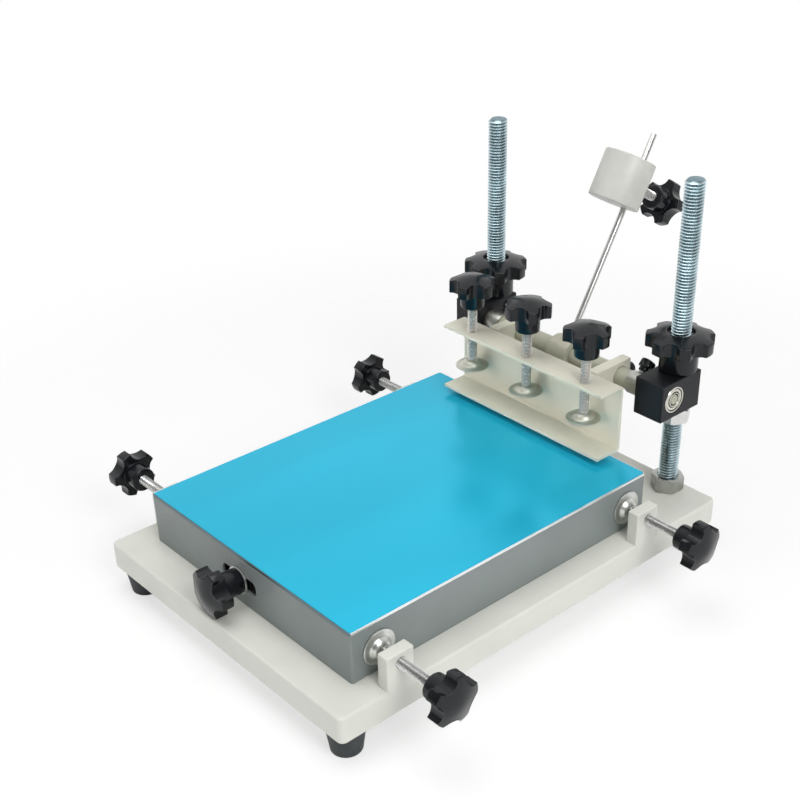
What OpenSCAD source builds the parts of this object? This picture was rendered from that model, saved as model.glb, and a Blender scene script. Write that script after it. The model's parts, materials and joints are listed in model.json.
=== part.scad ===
// Manual stencil printer: a table that is set by screws in X and Y, under a
// balanced swing arm that clamps the edge of a framed stencil.

/* [Table] */
// Width of the printing table
table_w = 240; // [160:1:320]
// Length of the printing table
table_l = 300; // [220:1:420]
// Height of the table, from the base to the top of its film
table_h = 43; // [36:0.5:60]
// Sheet thickness of the table box
table_wall = 2; // [1:0.1:3]
// Radius of the table's upright corners
table_corner = 2; // [1:0.5:8]
// Thickness of the bright top plate
plate_t = 2; // [1:0.1:4]
// Thickness of the protective film on the plate
film_t = 0.3; // [0.2:0.05:0.5]
// How far the film stays inside the plate's edge
film_margin = 0.8; // [0.2:0.1:5]
// Travel of the table to each side
side_travel = 3; // [1:0.5:8]

/* [Base] */
// Height of the folded base pan
base_h = 22.5; // [20:0.5:40]
// Sheet thickness of the base pan
base_wall = 3; // [1.5:0.1:4]
// Radius of the base pan's upright corners
base_corner = 5; // [2:0.5:12]
// Base in front of the table
front_margin = 29; // [15:1:80]
// Room between the lower rod nuts and the base's rear wall
rear_margin = 0.3; // [0.2:0.1:40]

/* [Feet] */
// Height of a rubber foot
foot_h = 21; // [10:0.5:40]
// Diameter of a foot under the base
foot_top_d = 29; // [20:0.5:40]
// Diameter of a foot on the bench
foot_bottom_d = 23; // [16:0.5:36]
// Foot centre from the base's edges
foot_inset = 16.5; // [16:0.5:30]
// Thread of a foot screw
foot_screw_d = 5; // [3:0.5:6]
// Head of a foot screw
foot_head_d = 10; // [8:0.5:12]
// Height of a foot screw's head
foot_head_h = 3; // [2:0.5:5]
// Recess of the screw head in the foot
foot_recess = 7; // [4:0.5:9]

/* [Side posts] */
// Width of a post along the base
post_w = 24; // [16:1:40]
// Thickness of a post
post_t = 10.2; // [6:0.1:20]
// Height of a post
post_h = 28; // [26:0.5:40]
// Edge radius of a post
post_edge = 1.2; // [0.5:0.1:3]
// Front post centre from the table's front end
front_post_inset = 24; // [16:1:60]
// Rear post centre from the table's rear end
rear_post_inset = 22; // [16:1:60]
// Height of the side screws above the base
screw_z = 20; // [16:0.5:22]
// Free length of a side screw between post and knob
side_screw_free = 32; // [10:0.5:50]
// Free length of a side screw between pad and post
side_pad_free = 3; // [0:0.5:20]

/* [Screws] */
// Thread of the adjusting and clamp screws
stud_d = 8; // [5:0.5:10]
// Depth of a screw in its knob
stud_in_knob = 12; // [6:0.5:20]
// Floor of a pad under its screw
pad_floor = 2; // [1.5:0.1:4]

/* [Swivel pads] */
// Diameter of a pad
pad_d = 28; // [20:0.5:34]
// Thickness of a pad at its rim
pad_rim = 1.2; // [1:0.1:3]
// Height of a pad with its socket
pad_h = 6; // [5:0.5:14]
// Wall of the pad's socket around the screw
pad_socket_wall = 3; // [2:0.1:5]

/* [Star knobs] */
// Diameter over the lobes
knob_d = 38.5; // [30:0.5:50]
// Diameter of the neck
knob_neck_d = 20.5; // [15:0.5:26]
// Length of the neck
knob_neck_h = 12.5; // [6:0.5:20]
// Height of the head with its dome
knob_head_h = 15; // [10:0.5:24]
// Rise of the dome
knob_dome = 3.5; // [1:0.1:6]
// Number of lobes
knob_lobes = 5; // [4:1:8]
// Radius of a valley between lobes
knob_valley_r = 9; // [5:0.5:14]
// Depth of a valley
knob_valley = 6; // [2:0.1:7]

/* [Front screw] */
// Slot centre from the table's centre line
slot_x = -8; // [-40:1:40]
// Length of the slot
slot_len = 41; // [20:1:80]
// Room in the slot above and below the screw
slot_play = 2; // [0.3:0.1:4]
// Extra length of the front knob's neck
front_neck_extra = 3; // [0:0.5:10]
// Gap between the front knob and the base
front_knob_gap = 1; // [0.5:0.1:3]
// Diameter of the front washers
washer_d = 22; // [16:0.5:28]
// Thickness of a front washer
washer_t = 1.6; // [1:0.1:3]
// Height of the lock nut behind the slot
lock_nut_h = 6; // [4:0.5:10]
// Wall of the lock nut, from thread to flat
lock_nut_wall = 2.5; // [2:0.1:4]
// Threaded bracket behind the table's front wall
bracket_set = 28; // [24:1:60]
// Width of the bracket
bracket_w = 32; // [20:1:60]
// Thickness of the bracket
bracket_t = 6; // [4:0.5:12]
// Foot of the bracket along the base
bracket_foot = 26; // [12:1:40]
// Bracket above the screw's axis
bracket_top = 10; // [7:0.5:12]
// Screw beyond the bracket
bracket_beyond = 12; // [2:1:30]

/* [Rods and nuts] */
// Thread of the upright rods
rod_d = 16; // [12:0.5:20]
// Height of the rods above the base
rod_h = 265; // [200:1:400]
// Distance between the rods
rod_span = 206; // [190:1:300]
// Rod below its lower base nut
rod_below = 2; // [0.5:0.5:3]
// Height of a hex nut
nut_h = 13; // [8:0.5:14]
// Wall of a hex nut, from thread to flat
nut_wall = 4; // [3:0.1:6]

/* [Hinge blocks] */
// Wall of the block beside the rod
block_side = 6; // [4:0.5:12]
// Height of a block
block_h = 32; // [26:0.5:50]
// Wall of the block in front of the bearing and behind the rod
block_wall = 4.5; // [3:0.5:10]
// Web between the rod and the shaft
block_web = 3.1; // [2:0.1:10]
// Outer diameter of the bearing
bearing_d = 22; // [19:0.5:26]
// Bore of the bearing
bearing_bore = 8; // [6:0.5:10]
// Width of the bearing
bearing_w = 7; // [5:0.5:9]
// Wall of a bearing ring
bearing_ring = 2; // [1.5:0.1:2.5]
// Depth of the shield under the bearing's face
shield_set = 0.5; // [0.3:0.1:1]
// Thickness of the shield
shield_t = 0.6; // [0.4:0.1:1]

/* [Star nuts] */
// Diameter over the lobes
star_d = 55; // [46:0.5:64]
// Number of lobes
star_lobes = 7; // [5:1:9]
// Radius of a valley between lobes
star_valley_r = 8; // [4:0.5:12]
// Depth of a valley
star_valley = 6; // [2:0.1:9]
// Wall of the hub around the rod
star_hub_wall = 7.5; // [5:0.5:10]
// Height of the hub
star_hub_h = 18; // [10:0.5:30]
// Height of the head
star_head_h = 14.5; // [10:0.5:20]
// Rise of the head's rim
star_dome = 2.5; // [1:0.1:5]
// Depth of the recess around the rod
star_recess = 2.5; // [1:0.1:5]
// Wall of the recess around the rod
star_recess_wall = 3; // [2:0.1:5]

/* [Shaft] */
// Diameter of the hinge shaft
shaft_d = 16; // [14:0.5:20]
// Height of the shoulder on the journal
shoulder = 1.75; // [1:0.05:1.9]
// Length of the shoulder
shoulder_l = 1; // [0.5:0.1:3]
// Wall of the boss that carries a lock screw
boss_wall = 1.5; // [1.2:0.1:6]
// Length of the boss
boss_len = 16; // [13:0.5:20]
// Diameter of the hub for the balance rod
hub_d = 27; // [22:0.5:36]
// Length of the hub
hub_len = 21; // [10:0.5:40]

/* [Lock knobs] */
// Diameter of a lock knob
lock_d = 13; // [11:0.5:20]
// Length of its neck
lock_neck_h = 3.5; // [3:0.5:10]
// Height of its head
lock_head_h = 7.5; // [6:0.5:14]
// Diameter of its neck
lock_neck_d = 8.5; // [7.5:0.5:12]
// Thread of the lock screw
lock_stud_d = 5; // [4:0.5:6]
// Lock knob from the hinge block
lock_side_gap = 5; // [2:0.5:6]
// Free length of the lock screw
lock_free = 1; // [0.5:0.5:6]
// Tilt of the lock screws above level
lock_tilt = 45; // [20:1:70]

/* [Arms] */
// Thickness of an arm
arm_t = 9.5; // [6:0.5:14]
// Height of an arm
arm_h = 25; // [23:0.5:40]
// Arm centre from the middle
arm_x = 56; // [30:0.5:60]
// Arm from the channel to the shaft's axis
arm_reach = 29.5; // [28:0.5:60]
// Wall of an arm behind the shaft
arm_tail = 4.5; // [3:0.5:12]
// Thread of an arm's clamp screw
cap_thread_d = 6; // [4:0.5:8]
// Head of an arm's clamp screw
cap_d = 10; // [8:0.5:13]
// Height of that head
cap_h = 6.5; // [4:0.5:9]

/* [Frame channel] */
// Width of the channel
channel_w = 178; // [140:1:178]
// Height of the channel
channel_h = 58.5; // [50:0.5:80]
// Depth of the channel
channel_d = 26.5; // [20:0.5:40]
// Sheet thickness of the channel
channel_t = 2.5; // [1.5:0.1:4]
// Bend radius outside
channel_bend = 3.5; // [2:0.1:6]
// Channel above the table
frame_lift = 5.4; // [2:0.1:30]
// Front edge of the channel inside the table's rear edge
frame_setback = 23; // [0:0.5:60]

/* [Clamp screws] */
// Distance between clamp screws
clamp_pitch = 64; // [45:1:70]
// Pad above the channel's lower flange
pad_lift = 23.5; // [2:0.5:30]
// Knob above the channel's upper flange
clamp_knob_lift = 22.5; // [2:0.5:40]
// Pad from the channel's back wall
pad_back_gap = 0.5; // [0.3:0.1:5]

/* [Balance weight] */
// Diameter of the balance rod
balance_d = 5; // [4:0.5:8]
// Lean of the balance rod to the back
balance_lean = 30.3; // [0:0.1:45]
// Length of the balance rod from the shaft's axis
balance_len = 190.7; // [180:0.1:260]
// Diameter of the weight
weight_d = 43.5; // [40:0.5:60]
// Length of the weight
weight_l = 39; // [20:0.5:60]
// Middle of the weight along the rod
weight_at = 146; // [80:0.5:155]
// Weight's axis from the rod
weight_ecc = 16.5; // [0:0.5:16.5]
// Weight knob from the rod
weight_knob_out = 29.5; // [22:0.5:50]

/* [Turns] */
// Turn of the front left side knob
front_left_turn = 18; // [0:1:72]
// Turn of the front right side knob
front_right_turn = 58; // [0:1:72]
// Turn of the rear left side knob
rear_left_turn = 67; // [0:1:72]
// Turn of the rear right side knob
rear_right_turn = 70; // [0:1:72]
// Turn of the front knob
front_turn = 33; // [0:1:72]
// Turn of the left clamp knob
clamp_left_turn = 38; // [0:1:72]
// Turn of the middle clamp knob
clamp_middle_turn = 4; // [0:1:72]
// Turn of the right clamp knob
clamp_right_turn = 37; // [0:1:72]
// Turn of the weight's knob
weight_turn = 31; // [0:1:72]
// Turn of the left star nut
star_left_turn = 40; // [0:1:52]
// Turn of the right star nut
star_right_turn = 34; // [0:1:52]
// Turn of the base nuts
nut_turn = 30; // [0:5:60]

/* [Fits] */
// Radial gap of pieces that are fixed together
fit = 0.04; // [0.02:0.01:0.1]
// Radial gap of threads and running shafts
run = 0.08; // [0.03:0.01:0.1]
// Gap between faces that slide or turn on each other
seat = 0.2; // [0.1:0.05:0.4]
// Room around a piece that passes through
pass = 0.5; // [0.3:0.1:2]

/* [Hidden] */
$fn = 64;
cut = 1;
side_room = seat + pad_h + side_pad_free + side_travel + pass;
post_in = table_w / 2 + side_room;
base_w = 2 * (post_in + post_t);
front_post_y = front_post_inset - table_l / 2;
rear_post_y = table_l / 2 - rear_post_inset;
lip_w = 2 * foot_inset;
slot_z = knob_d / 2 + front_knob_gap;
channel_front = table_l / 2 - frame_setback;
channel_back = channel_front + channel_d;
channel_z = table_h + frame_lift;
channel_top = channel_z + channel_h;
clamp_y = channel_back - channel_t - pad_back_gap - pad_d / 2;
shaft_y = channel_back + arm_reach;
shaft_z = channel_top - arm_h / 2;
rod_y = shaft_y + shaft_d / 2 + block_web + rod_d / 2;
base_front = -table_l / 2 - front_margin;
base_rear = rod_y + rod_d / 2 + nut_wall + rear_margin + base_wall;
base_top = foot_h + base_h;
block_w = rod_d + 2 * block_side;
block_in = rod_span / 2 - block_w / 2;
block_out = rod_span / 2 + block_w / 2;
block_front = shaft_y - bearing_d / 2 - block_wall;
block_rear = rod_y + rod_d / 2 + block_wall;
block_z = shaft_z - block_h / 2;
block_top = shaft_z + block_h / 2;
star_hub_d = rod_d + 2 * star_hub_wall;
boss_d = shaft_d + 2 * boss_wall;
lock_x = block_in - lock_side_gap - lock_d / 2;
lock_out = boss_d / 2 + lock_free;
knob_h = knob_neck_h + knob_head_h;
washer_out = -table_l / 2 - seat - washer_t;
front_knob_y = washer_out - seat;
front_end = min(front_knob_y - knob_h - front_neck_extra, base_front);
rear_end = shaft_y + weight_at * sin(balance_lean) + knob_d / 2 * sin(balance_lean)
    + (weight_knob_out + knob_h - knob_dome) * cos(balance_lean);
table_y = -(front_end + rear_end) / 2;
sides = [-1, 1];

// Puts a piece on the base's top face, at the middle of the table
module on_base() {
    translate([0, table_y, base_top]) children();
}

// Frame of the hinge shaft, with its axis along X
module at_shaft() {
    on_base() translate([0, shaft_y, shaft_z]) children();
}

// Frame of the balance rod: Z along the rod, Y towards the weight's knob
module on_balance(along) {
    at_shaft() rotate([-balance_lean, 0, 0]) translate([0, 0, along]) children();
}

function post_y(end) = end < 0 ? front_post_y : rear_post_y;

// Frame of a side screw: Z along the screw, outwards from the table's side
module on_side(side, end) {
    on_base() translate([side * table_w / 2, post_y(end), screw_z]) rotate([0, side * 90, 0]) children();
}

// Frame of a lock screw: Z out of the shaft
module on_lock(side) {
    at_shaft() translate([side * lock_x, 0, 0]) rotate([lock_tilt - 90, 0, 0]) children();
}

// Frame of a clamp screw: Z up from the channel's lower flange
module on_clamp(place) {
    on_base() translate([place * clamp_pitch, clamp_y, channel_z + channel_t]) children();
}

// Frame of the front screw: Z forwards out of the table's front wall
module on_front() {
    on_base() translate([slot_x, -table_l / 2, slot_z]) rotate([90, 0, 0]) children();
}

module rounded_rect(w, l, r) {
    square([w - 2 * r, l], center = true);
    square([w, l - 2 * r], center = true);
    for (x = sides, y = sides) translate([x * (w / 2 - r), y * (l / 2 - r)]) circle(r);
}

module tube(d, bore, h) {
    difference() {
        cylinder(d = d, h = h);
        translate([0, 0, -cut]) cylinder(d = bore, h = h + 2 * cut);
    }
}

// Cylinder along X between two places
module bar_x(d, x0, x1) {
    translate([x0, 0, 0]) rotate([0, 90, 0]) cylinder(d = d, h = x1 - x0);
}

// Hex nut with chamfered corners
module hex_nut(thread, wall, h) {
    corner = (thread / 2 + wall) / cos(30);
    edge = corner - thread / 2 - wall;
    difference() {
        intersection() {
            cylinder(r = corner, h = h, $fn = 6);
            rotate_extrude() polygon([
                [0, 0], [corner - edge, 0], [corner, edge / 2],
                [corner, h - edge / 2], [corner - edge, h], [0, h]
            ]);
        }
        translate([0, 0, -cut]) cylinder(r = thread / 2 + run, h = h + 2 * cut);
    }
}

module star_outline(d, lobes, valley_r, valley) {
    difference() {
        circle(d = d);
        for (i = [0 : lobes - 1]) rotate(i * 360 / lobes)
            translate([d / 2 - valley + valley_r, 0]) circle(valley_r);
    }
}

// Lobed head with a domed top and a rounded lower edge
module star_head(d, h, dome, lobes, valley_r, valley) {
    edge = dome / 2;
    crown = dome / 4;
    intersection() {
        linear_extrude(h) star_outline(d, lobes, valley_r, valley);
        rotate_extrude() polygon([
            [0, 0], [d / 2 - edge, 0], [d / 2, edge],
            [d / 2, h - dome - edge], [d / 2 - edge, h - dome + crown],
            [d / 2 - 2 * dome, h - crown], [d / 4, h], [0, h]
        ]);
    }
}

// Star knob with its neck at Z = 0 and a blind hole for the screw
module star_knob(extra = 0) {
    neck = knob_neck_h + extra;
    difference() {
        union() {
            cylinder(d = knob_neck_d, h = neck + cut);
            translate([0, 0, neck])
                star_head(knob_d, knob_head_h, knob_dome, knob_lobes, knob_valley_r, knob_valley);
        }
        translate([0, 0, -cut]) cylinder(r = stud_d / 2 + fit, h = stud_in_knob + cut);
    }
}

// Swivel pad with its face at Z = 0 and a socket for the screw's end
module swivel_pad() {
    socket = stud_d / 2 + run + pad_socket_wall;
    flare = pad_socket_wall / 2;
    difference() {
        rotate_extrude() polygon([
            [0, 0], [pad_d / 2, 0], [pad_d / 2, pad_rim], [socket + flare, pad_rim + flare / 2],
            [socket, pad_h - flare], [socket - flare, pad_h], [0, pad_h]
        ]);
        translate([0, 0, pad_floor]) cylinder(r = stud_d / 2 + run, h = pad_h);
    }
}

// Screw from a pad's socket into a knob whose neck starts at knob_z
module pad_screw(knob_z) {
    z0 = pad_floor + seat;
    translate([0, 0, z0]) cylinder(d = stud_d, h = knob_z + stud_in_knob - seat - z0);
}

module base_outline(inset) {
    translate([0, (base_front + base_rear) / 2])
        rounded_rect(base_w - 2 * inset, base_rear - base_front - 2 * inset, base_corner);
}

module at_feet() {
    for (x = sides, y = [base_front + foot_inset, base_rear - foot_inset])
        translate([x * (base_w / 2 - foot_inset), y + table_y, 0]) children();
}

module base_pan() {
    color("ivory") difference() {
        translate([0, table_y, foot_h]) difference() {
            linear_extrude(base_h) base_outline(0);
            translate([0, 0, base_wall]) linear_extrude(base_h - 2 * base_wall) base_outline(base_wall);
            translate([0, 0, -cut]) linear_extrude(base_wall + 2 * cut) base_outline(lip_w);
        }
        on_base() for (x = sides) translate([x * rod_span / 2, rod_y, -base_wall - cut])
            cylinder(r = rod_d / 2 + run, h = base_wall + 2 * cut);
        at_feet() translate([0, 0, foot_h - cut])
            cylinder(r = foot_screw_d / 2 + run, h = base_wall + 2 * cut);
    }
}

module side_posts() {
    color("ivory") for (side = sides, end = sides) difference() {
        on_base() translate([side * (post_in + post_t / 2), post_y(end), 0])
            linear_extrude(post_h) rounded_rect(post_t, post_w, post_edge);
        on_side(side, end) cylinder(r = stud_d / 2 + run, h = side_room + post_t + cut);
    }
}

module rubber_feet() {
    color("black") at_feet() difference() {
        cylinder(d1 = foot_bottom_d, d2 = foot_top_d, h = foot_h);
        translate([0, 0, -cut]) cylinder(r = foot_screw_d / 2 + run, h = foot_h + 2 * cut);
        translate([0, 0, -cut]) cylinder(d = foot_head_d + 2 * pass, h = foot_recess + cut);
    }
}

module foot_screws() {
    color("silver") at_feet() translate([0, 0, foot_recess - foot_head_h]) {
        cylinder(d = foot_head_d, h = foot_head_h);
        cylinder(d = foot_screw_d, h = foot_head_h + foot_h - foot_recess + 2 * base_wall);
    }
}

module threaded_rod(side) {
    below = base_wall + nut_h + rod_below;
    color("lightsteelblue") on_base() translate([side * rod_span / 2, rod_y, -below])
        cylinder(d = rod_d, h = rod_h + below);
}

module rod_base_nuts() {
    color("gray") on_base() for (side = sides) translate([side * rod_span / 2, rod_y, 0]) {
        rotate(nut_turn) hex_nut(rod_d, nut_wall, nut_h);
        translate([0, 0, -base_wall - nut_h]) hex_nut(rod_d, nut_wall, nut_h);
    }
}

module front_bracket() {
    color("silver") difference() {
        on_front() translate([-bracket_w / 2, -slot_z, -bracket_set - bracket_t]) {
            cube([bracket_w, slot_z + bracket_top, bracket_t]);
            translate([0, 0, -bracket_foot]) cube([bracket_w, bracket_t, bracket_foot + cut]);
        }
        on_front() translate([0, 0, -bracket_set - bracket_t - cut])
            cylinder(r = stud_d / 2 + run, h = bracket_t + 2 * cut);
    }
}

module table_box() {
    h = table_h - plate_t - film_t - seat;
    color("dimgray") difference() {
        on_base() translate([0, 0, seat]) difference() {
            linear_extrude(h) rounded_rect(table_w, table_l, table_corner);
            translate([0, 0, -cut]) linear_extrude(h - table_wall + cut)
                rounded_rect(table_w - 2 * table_wall, table_l - 2 * table_wall, table_corner);
        }
        on_front() translate([0, 0, -table_wall - cut]) linear_extrude(table_wall + 2 * cut)
            rounded_rect(slot_len, stud_d + 2 * slot_play, (stud_d + slot_play) / 2);
    }
}

module table_plate() {
    color("gainsboro") on_base() translate([0, 0, table_h - film_t - plate_t])
        linear_extrude(plate_t) rounded_rect(table_w, table_l, table_corner);
}

module table_film() {
    color("deepskyblue") on_base() translate([0, 0, table_h - film_t])
        linear_extrude(film_t)
            rounded_rect(table_w - 2 * film_margin, table_l - 2 * film_margin, table_corner);
}

module front_washers() {
    color("silver") on_front() for (z = [seat, -table_wall - seat - washer_t])
        translate([0, 0, z]) tube(washer_d, stud_d + 2 * run, washer_t);
}

module front_stud() {
    back = bracket_set + bracket_t + bracket_beyond;
    front = seat + washer_t + stud_in_knob;
    color("silver") on_front() translate([0, 0, -back]) cylinder(d = stud_d, h = back + front);
}

module front_lock_nut() {
    color("silver") on_front() translate([0, 0, -table_wall - 2 * seat - washer_t - lock_nut_h])
        hex_nut(stud_d, lock_nut_wall, lock_nut_h);
}

module front_knob() {
    color("black") on_front() translate([0, 0, 2 * seat + washer_t])
        rotate(front_turn) star_knob(front_neck_extra);
}

module side_pad(side, end) {
    color("silver") on_side(side, end) translate([0, 0, seat]) swivel_pad();
}

module side_stud(side, end) {
    color("silver") on_side(side, end) translate([0, 0, seat])
        pad_screw(side_room + post_t + side_screw_free - seat);
}

module side_knob(side, end, turn) {
    color("black") on_side(side, end) translate([0, 0, side_room + post_t + side_screw_free])
        rotate(turn) star_knob();
}

module hinge_block(side) {
    color("black") difference() {
        on_base() translate([side * rod_span / 2 - block_w / 2, block_front, block_z])
            cube([block_w, block_rear - block_front, block_h]);
        on_base() translate([side * rod_span / 2, rod_y, block_z - cut])
            cylinder(r = rod_d / 2 + run, h = block_h + 2 * cut);
        at_shaft() mirror([side < 0 ? 1 : 0, 0, 0]) {
            bar_x(shaft_d + 2 * pass, block_in - cut, block_out - bearing_w + cut);
            bar_x(bearing_d + 2 * fit, block_out - bearing_w, block_out + cut);
        }
    }
}

module bearing_outer_rings() {
    inner_d = bearing_bore + 2 * bearing_ring;
    color("silver") at_shaft() for (side = sides) mirror([side < 0 ? 1 : 0, 0, 0]) difference() {
        bar_x(bearing_d, block_out - bearing_w, block_out);
        bar_x(bearing_d - 2 * bearing_ring, block_out - bearing_w - cut, block_out - shield_set - shield_t);
        bar_x(bearing_d - 2 * bearing_ring, block_out - shield_set, block_out + cut);
        bar_x(inner_d + 2 * pass, block_out - bearing_w, block_out);
    }
}

module bearing_inner_rings() {
    inner_d = bearing_bore + 2 * bearing_ring;
    color("silver") at_shaft() for (side = sides) mirror([side < 0 ? 1 : 0, 0, 0]) difference() {
        bar_x(inner_d, block_out - bearing_w, block_out);
        bar_x(bearing_bore + 2 * fit, block_out - bearing_w - cut, block_out + cut);
    }
}

module shaft_bosses() {
    color("darkgray") for (side = sides) difference() {
        at_shaft() mirror([side < 0 ? 1 : 0, 0, 0]) difference() {
            bar_x(boss_d, block_in - boss_len, block_in);
            bar_x(shaft_d + 2 * run, block_in - boss_len - cut, block_in + cut);
        }
        on_lock(side) cylinder(r = lock_stud_d / 2 + run, h = boss_d);
    }
}

module star_nut(side, turn) {
    top = star_hub_h + star_head_h;
    color("black") on_base() translate([side * rod_span / 2, rod_y, block_top + seat])
        rotate(turn) difference() {
            union() {
                cylinder(d = star_hub_d, h = star_hub_h + cut);
                translate([0, 0, star_hub_h])
                    star_head(star_d, star_head_h, star_dome, star_lobes, star_valley_r, star_valley);
            }
            translate([0, 0, -cut]) cylinder(r = rod_d / 2 + run, h = top + 2 * cut);
            translate([0, 0, top - star_recess])
                cylinder(r = rod_d / 2 + star_recess_wall, h = star_recess + cut);
        }
}

module lower_nut(side) {
    color("white") on_base() translate([side * rod_span / 2, rod_y, block_z - seat - nut_h])
        hex_nut(rod_d, nut_wall, nut_h);
}

module lock_stud(side) {
    z0 = shaft_d / 2 + seat;
    color("silver") on_lock(side) translate([0, 0, z0])
        cylinder(d = lock_stud_d, h = lock_out + lock_neck_h + lock_head_h / 2 - z0);
}

module lock_knob(side) {
    valley_r = lock_d / 4;
    valley = lock_d / 9;
    dome = lock_d / 12;
    deep = lock_neck_h + lock_head_h / 2 + seat;
    color("black") on_lock(side) translate([0, 0, lock_out]) difference() {
        union() {
            cylinder(d = lock_neck_d, h = lock_neck_h + cut);
            translate([0, 0, lock_neck_h])
                star_head(lock_d, lock_head_h, dome, knob_lobes, valley_r, valley);
        }
        translate([0, 0, -cut]) cylinder(r = lock_stud_d / 2 + fit, h = deep + cut);
    }
}

module hinge_shaft() {
    end = block_out - bearing_w;
    color("ivory") at_shaft() {
        bar_x(shaft_d, -end + shoulder_l, end - shoulder_l);
        bar_x(bearing_bore + 2 * shoulder, -end, end);
        bar_x(bearing_bore, -block_out, block_out);
    }
}

module arm(side) {
    tail = shaft_d / 2 + arm_tail;
    color("ivory") at_shaft() translate([side * arm_x, 0, 0]) difference() {
        translate([-arm_t / 2, -arm_reach, -arm_h / 2]) cube([arm_t, arm_reach + tail, arm_h]);
        bar_x(shaft_d + 2 * fit, -arm_t, arm_t);
        rotate([-90, 0, 0]) cylinder(r = cap_thread_d / 2 + fit, h = tail + cut);
    }
}

module arm_screws() {
    tip = shaft_d / 2 + seat;
    tail = shaft_d / 2 + arm_tail;
    color("black") at_shaft() for (side = sides) translate([side * arm_x, 0, 0]) rotate([-90, 0, 0]) {
        translate([0, 0, tip]) cylinder(d = cap_thread_d, h = tail - tip + cut);
        translate([0, 0, tail]) cylinder(d = cap_d, h = cap_h);
    }
}

// Section of the channel in Y and Z, open to the front, with bent corners
module channel_section() {
    inner = max(channel_bend - channel_t, seat);
    difference() {
        union() {
            square([channel_d - channel_bend, channel_h]);
            translate([0, channel_bend]) square([channel_d, channel_h - 2 * channel_bend]);
            for (z = [channel_bend, channel_h - channel_bend])
                translate([channel_d - channel_bend, z]) circle(channel_bend);
        }
        translate([-cut, channel_t]) square([channel_d - channel_bend + cut, channel_h - 2 * channel_t]);
        translate([-cut, channel_bend])
            square([channel_d - channel_t + cut, channel_h - 2 * channel_bend]);
        for (z = [channel_bend, channel_h - channel_bend])
            translate([channel_d - channel_bend, z]) circle(inner);
    }
}

module frame_channel() {
    color("ivory") difference() {
        on_base() translate([-channel_w / 2, channel_front, channel_z]) rotate([90, 0, 90])
            linear_extrude(channel_w) channel_section();
        for (place = [-1 : 1]) on_clamp(place) translate([0, 0, channel_h / 2])
            cylinder(r = stud_d / 2 + run, h = channel_h);
    }
}

module shaft_hub() {
    color("ivory") at_shaft() difference() {
        bar_x(hub_d, -hub_len / 2, hub_len / 2);
        bar_x(shaft_d + 2 * fit, -hub_len, hub_len);
        rotate([-balance_lean, 0, 0]) cylinder(r = balance_d / 2 + fit, h = hub_d);
    }
}

module balance_rod() {
    z0 = shaft_d / 2 + seat;
    color("silver") on_balance(z0) cylinder(d = balance_d, h = balance_len - z0);
}

module clamp_pad(place) {
    color("silver") on_clamp(place) translate([0, 0, pad_lift]) swivel_pad();
}

module clamp_stud(place) {
    color("silver") on_clamp(place) translate([0, 0, pad_lift])
        pad_screw(channel_h - channel_t + clamp_knob_lift - pad_lift);
}

module clamp_knob(place, turn) {
    color("black") on_clamp(place) translate([0, 0, channel_h - channel_t + clamp_knob_lift])
        rotate(turn) star_knob();
}

module counterweight() {
    color("ivory") on_balance(weight_at) difference() {
        translate([0, -weight_ecc, -weight_l / 2]) cylinder(d = weight_d, h = weight_l);
        translate([0, 0, -weight_l]) cylinder(r = balance_d / 2 + run, h = 2 * weight_l);
        rotate([-90, 0, 0]) cylinder(r = stud_d / 2 + run, h = weight_d);
    }
}

module weight_stud() {
    y0 = balance_d / 2 + seat;
    color("silver") on_balance(weight_at) rotate([-90, 0, 0]) translate([0, 0, y0])
        cylinder(d = stud_d, h = weight_knob_out + stud_in_knob - seat - y0);
}

module weight_knob() {
    color("black") on_balance(weight_at) rotate([-90, 0, 0]) translate([0, 0, weight_knob_out])
        rotate(weight_turn) star_knob();
}

base_pan();
side_posts();
rubber_feet();
foot_screws();
threaded_rod(-1);  // threaded_rod_left
threaded_rod(1);  // threaded_rod_right
rod_base_nuts();
front_bracket();
table_box();
table_plate();
table_film();
front_washers();
front_stud();
front_lock_nut();
front_knob();
side_pad(-1, -1);  // side_pad_front_left
side_stud(-1, -1);  // side_stud_front_left
side_knob(-1, -1, front_left_turn);  // side_knob_front_left
side_pad(1, -1);  // side_pad_front_right
side_stud(1, -1);  // side_stud_front_right
side_knob(1, -1, front_right_turn);  // side_knob_front_right
side_pad(-1, 1);  // side_pad_rear_left
side_stud(-1, 1);  // side_stud_rear_left
side_knob(-1, 1, rear_left_turn);  // side_knob_rear_left
side_pad(1, 1);  // side_pad_rear_right
side_stud(1, 1);  // side_stud_rear_right
side_knob(1, 1, rear_right_turn);  // side_knob_rear_right
hinge_block(-1);  // hinge_block_left
hinge_block(1);  // hinge_block_right
bearing_outer_rings();
shaft_bosses();
star_nut(-1, star_left_turn);  // star_nut_left
star_nut(1, star_right_turn);  // star_nut_right
lower_nut(-1);  // lower_nut_left
lower_nut(1);  // lower_nut_right
lock_stud(-1);  // lock_stud_left
lock_knob(-1);  // lock_knob_left
lock_stud(1);  // lock_stud_right
lock_knob(1);  // lock_knob_right
hinge_shaft();
bearing_inner_rings();
arm(-1);  // arm_left
arm(1);  // arm_right
arm_screws();
frame_channel();
shaft_hub();
balance_rod();
clamp_pad(-1);  // clamp_pad_left
clamp_stud(-1);  // clamp_stud_left
clamp_knob(-1, clamp_left_turn);  // clamp_knob_left
clamp_pad(0);  // clamp_pad_middle
clamp_stud(0);  // clamp_stud_middle
clamp_knob(0, clamp_middle_turn);  // clamp_knob_middle
clamp_pad(1);  // clamp_pad_right
clamp_stud(1);  // clamp_stud_right
clamp_knob(1, clamp_right_turn);  // clamp_knob_right
counterweight();
weight_stud();
weight_knob();
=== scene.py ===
import json
import math
import bpy
from mathutils import Matrix, Vector


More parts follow.
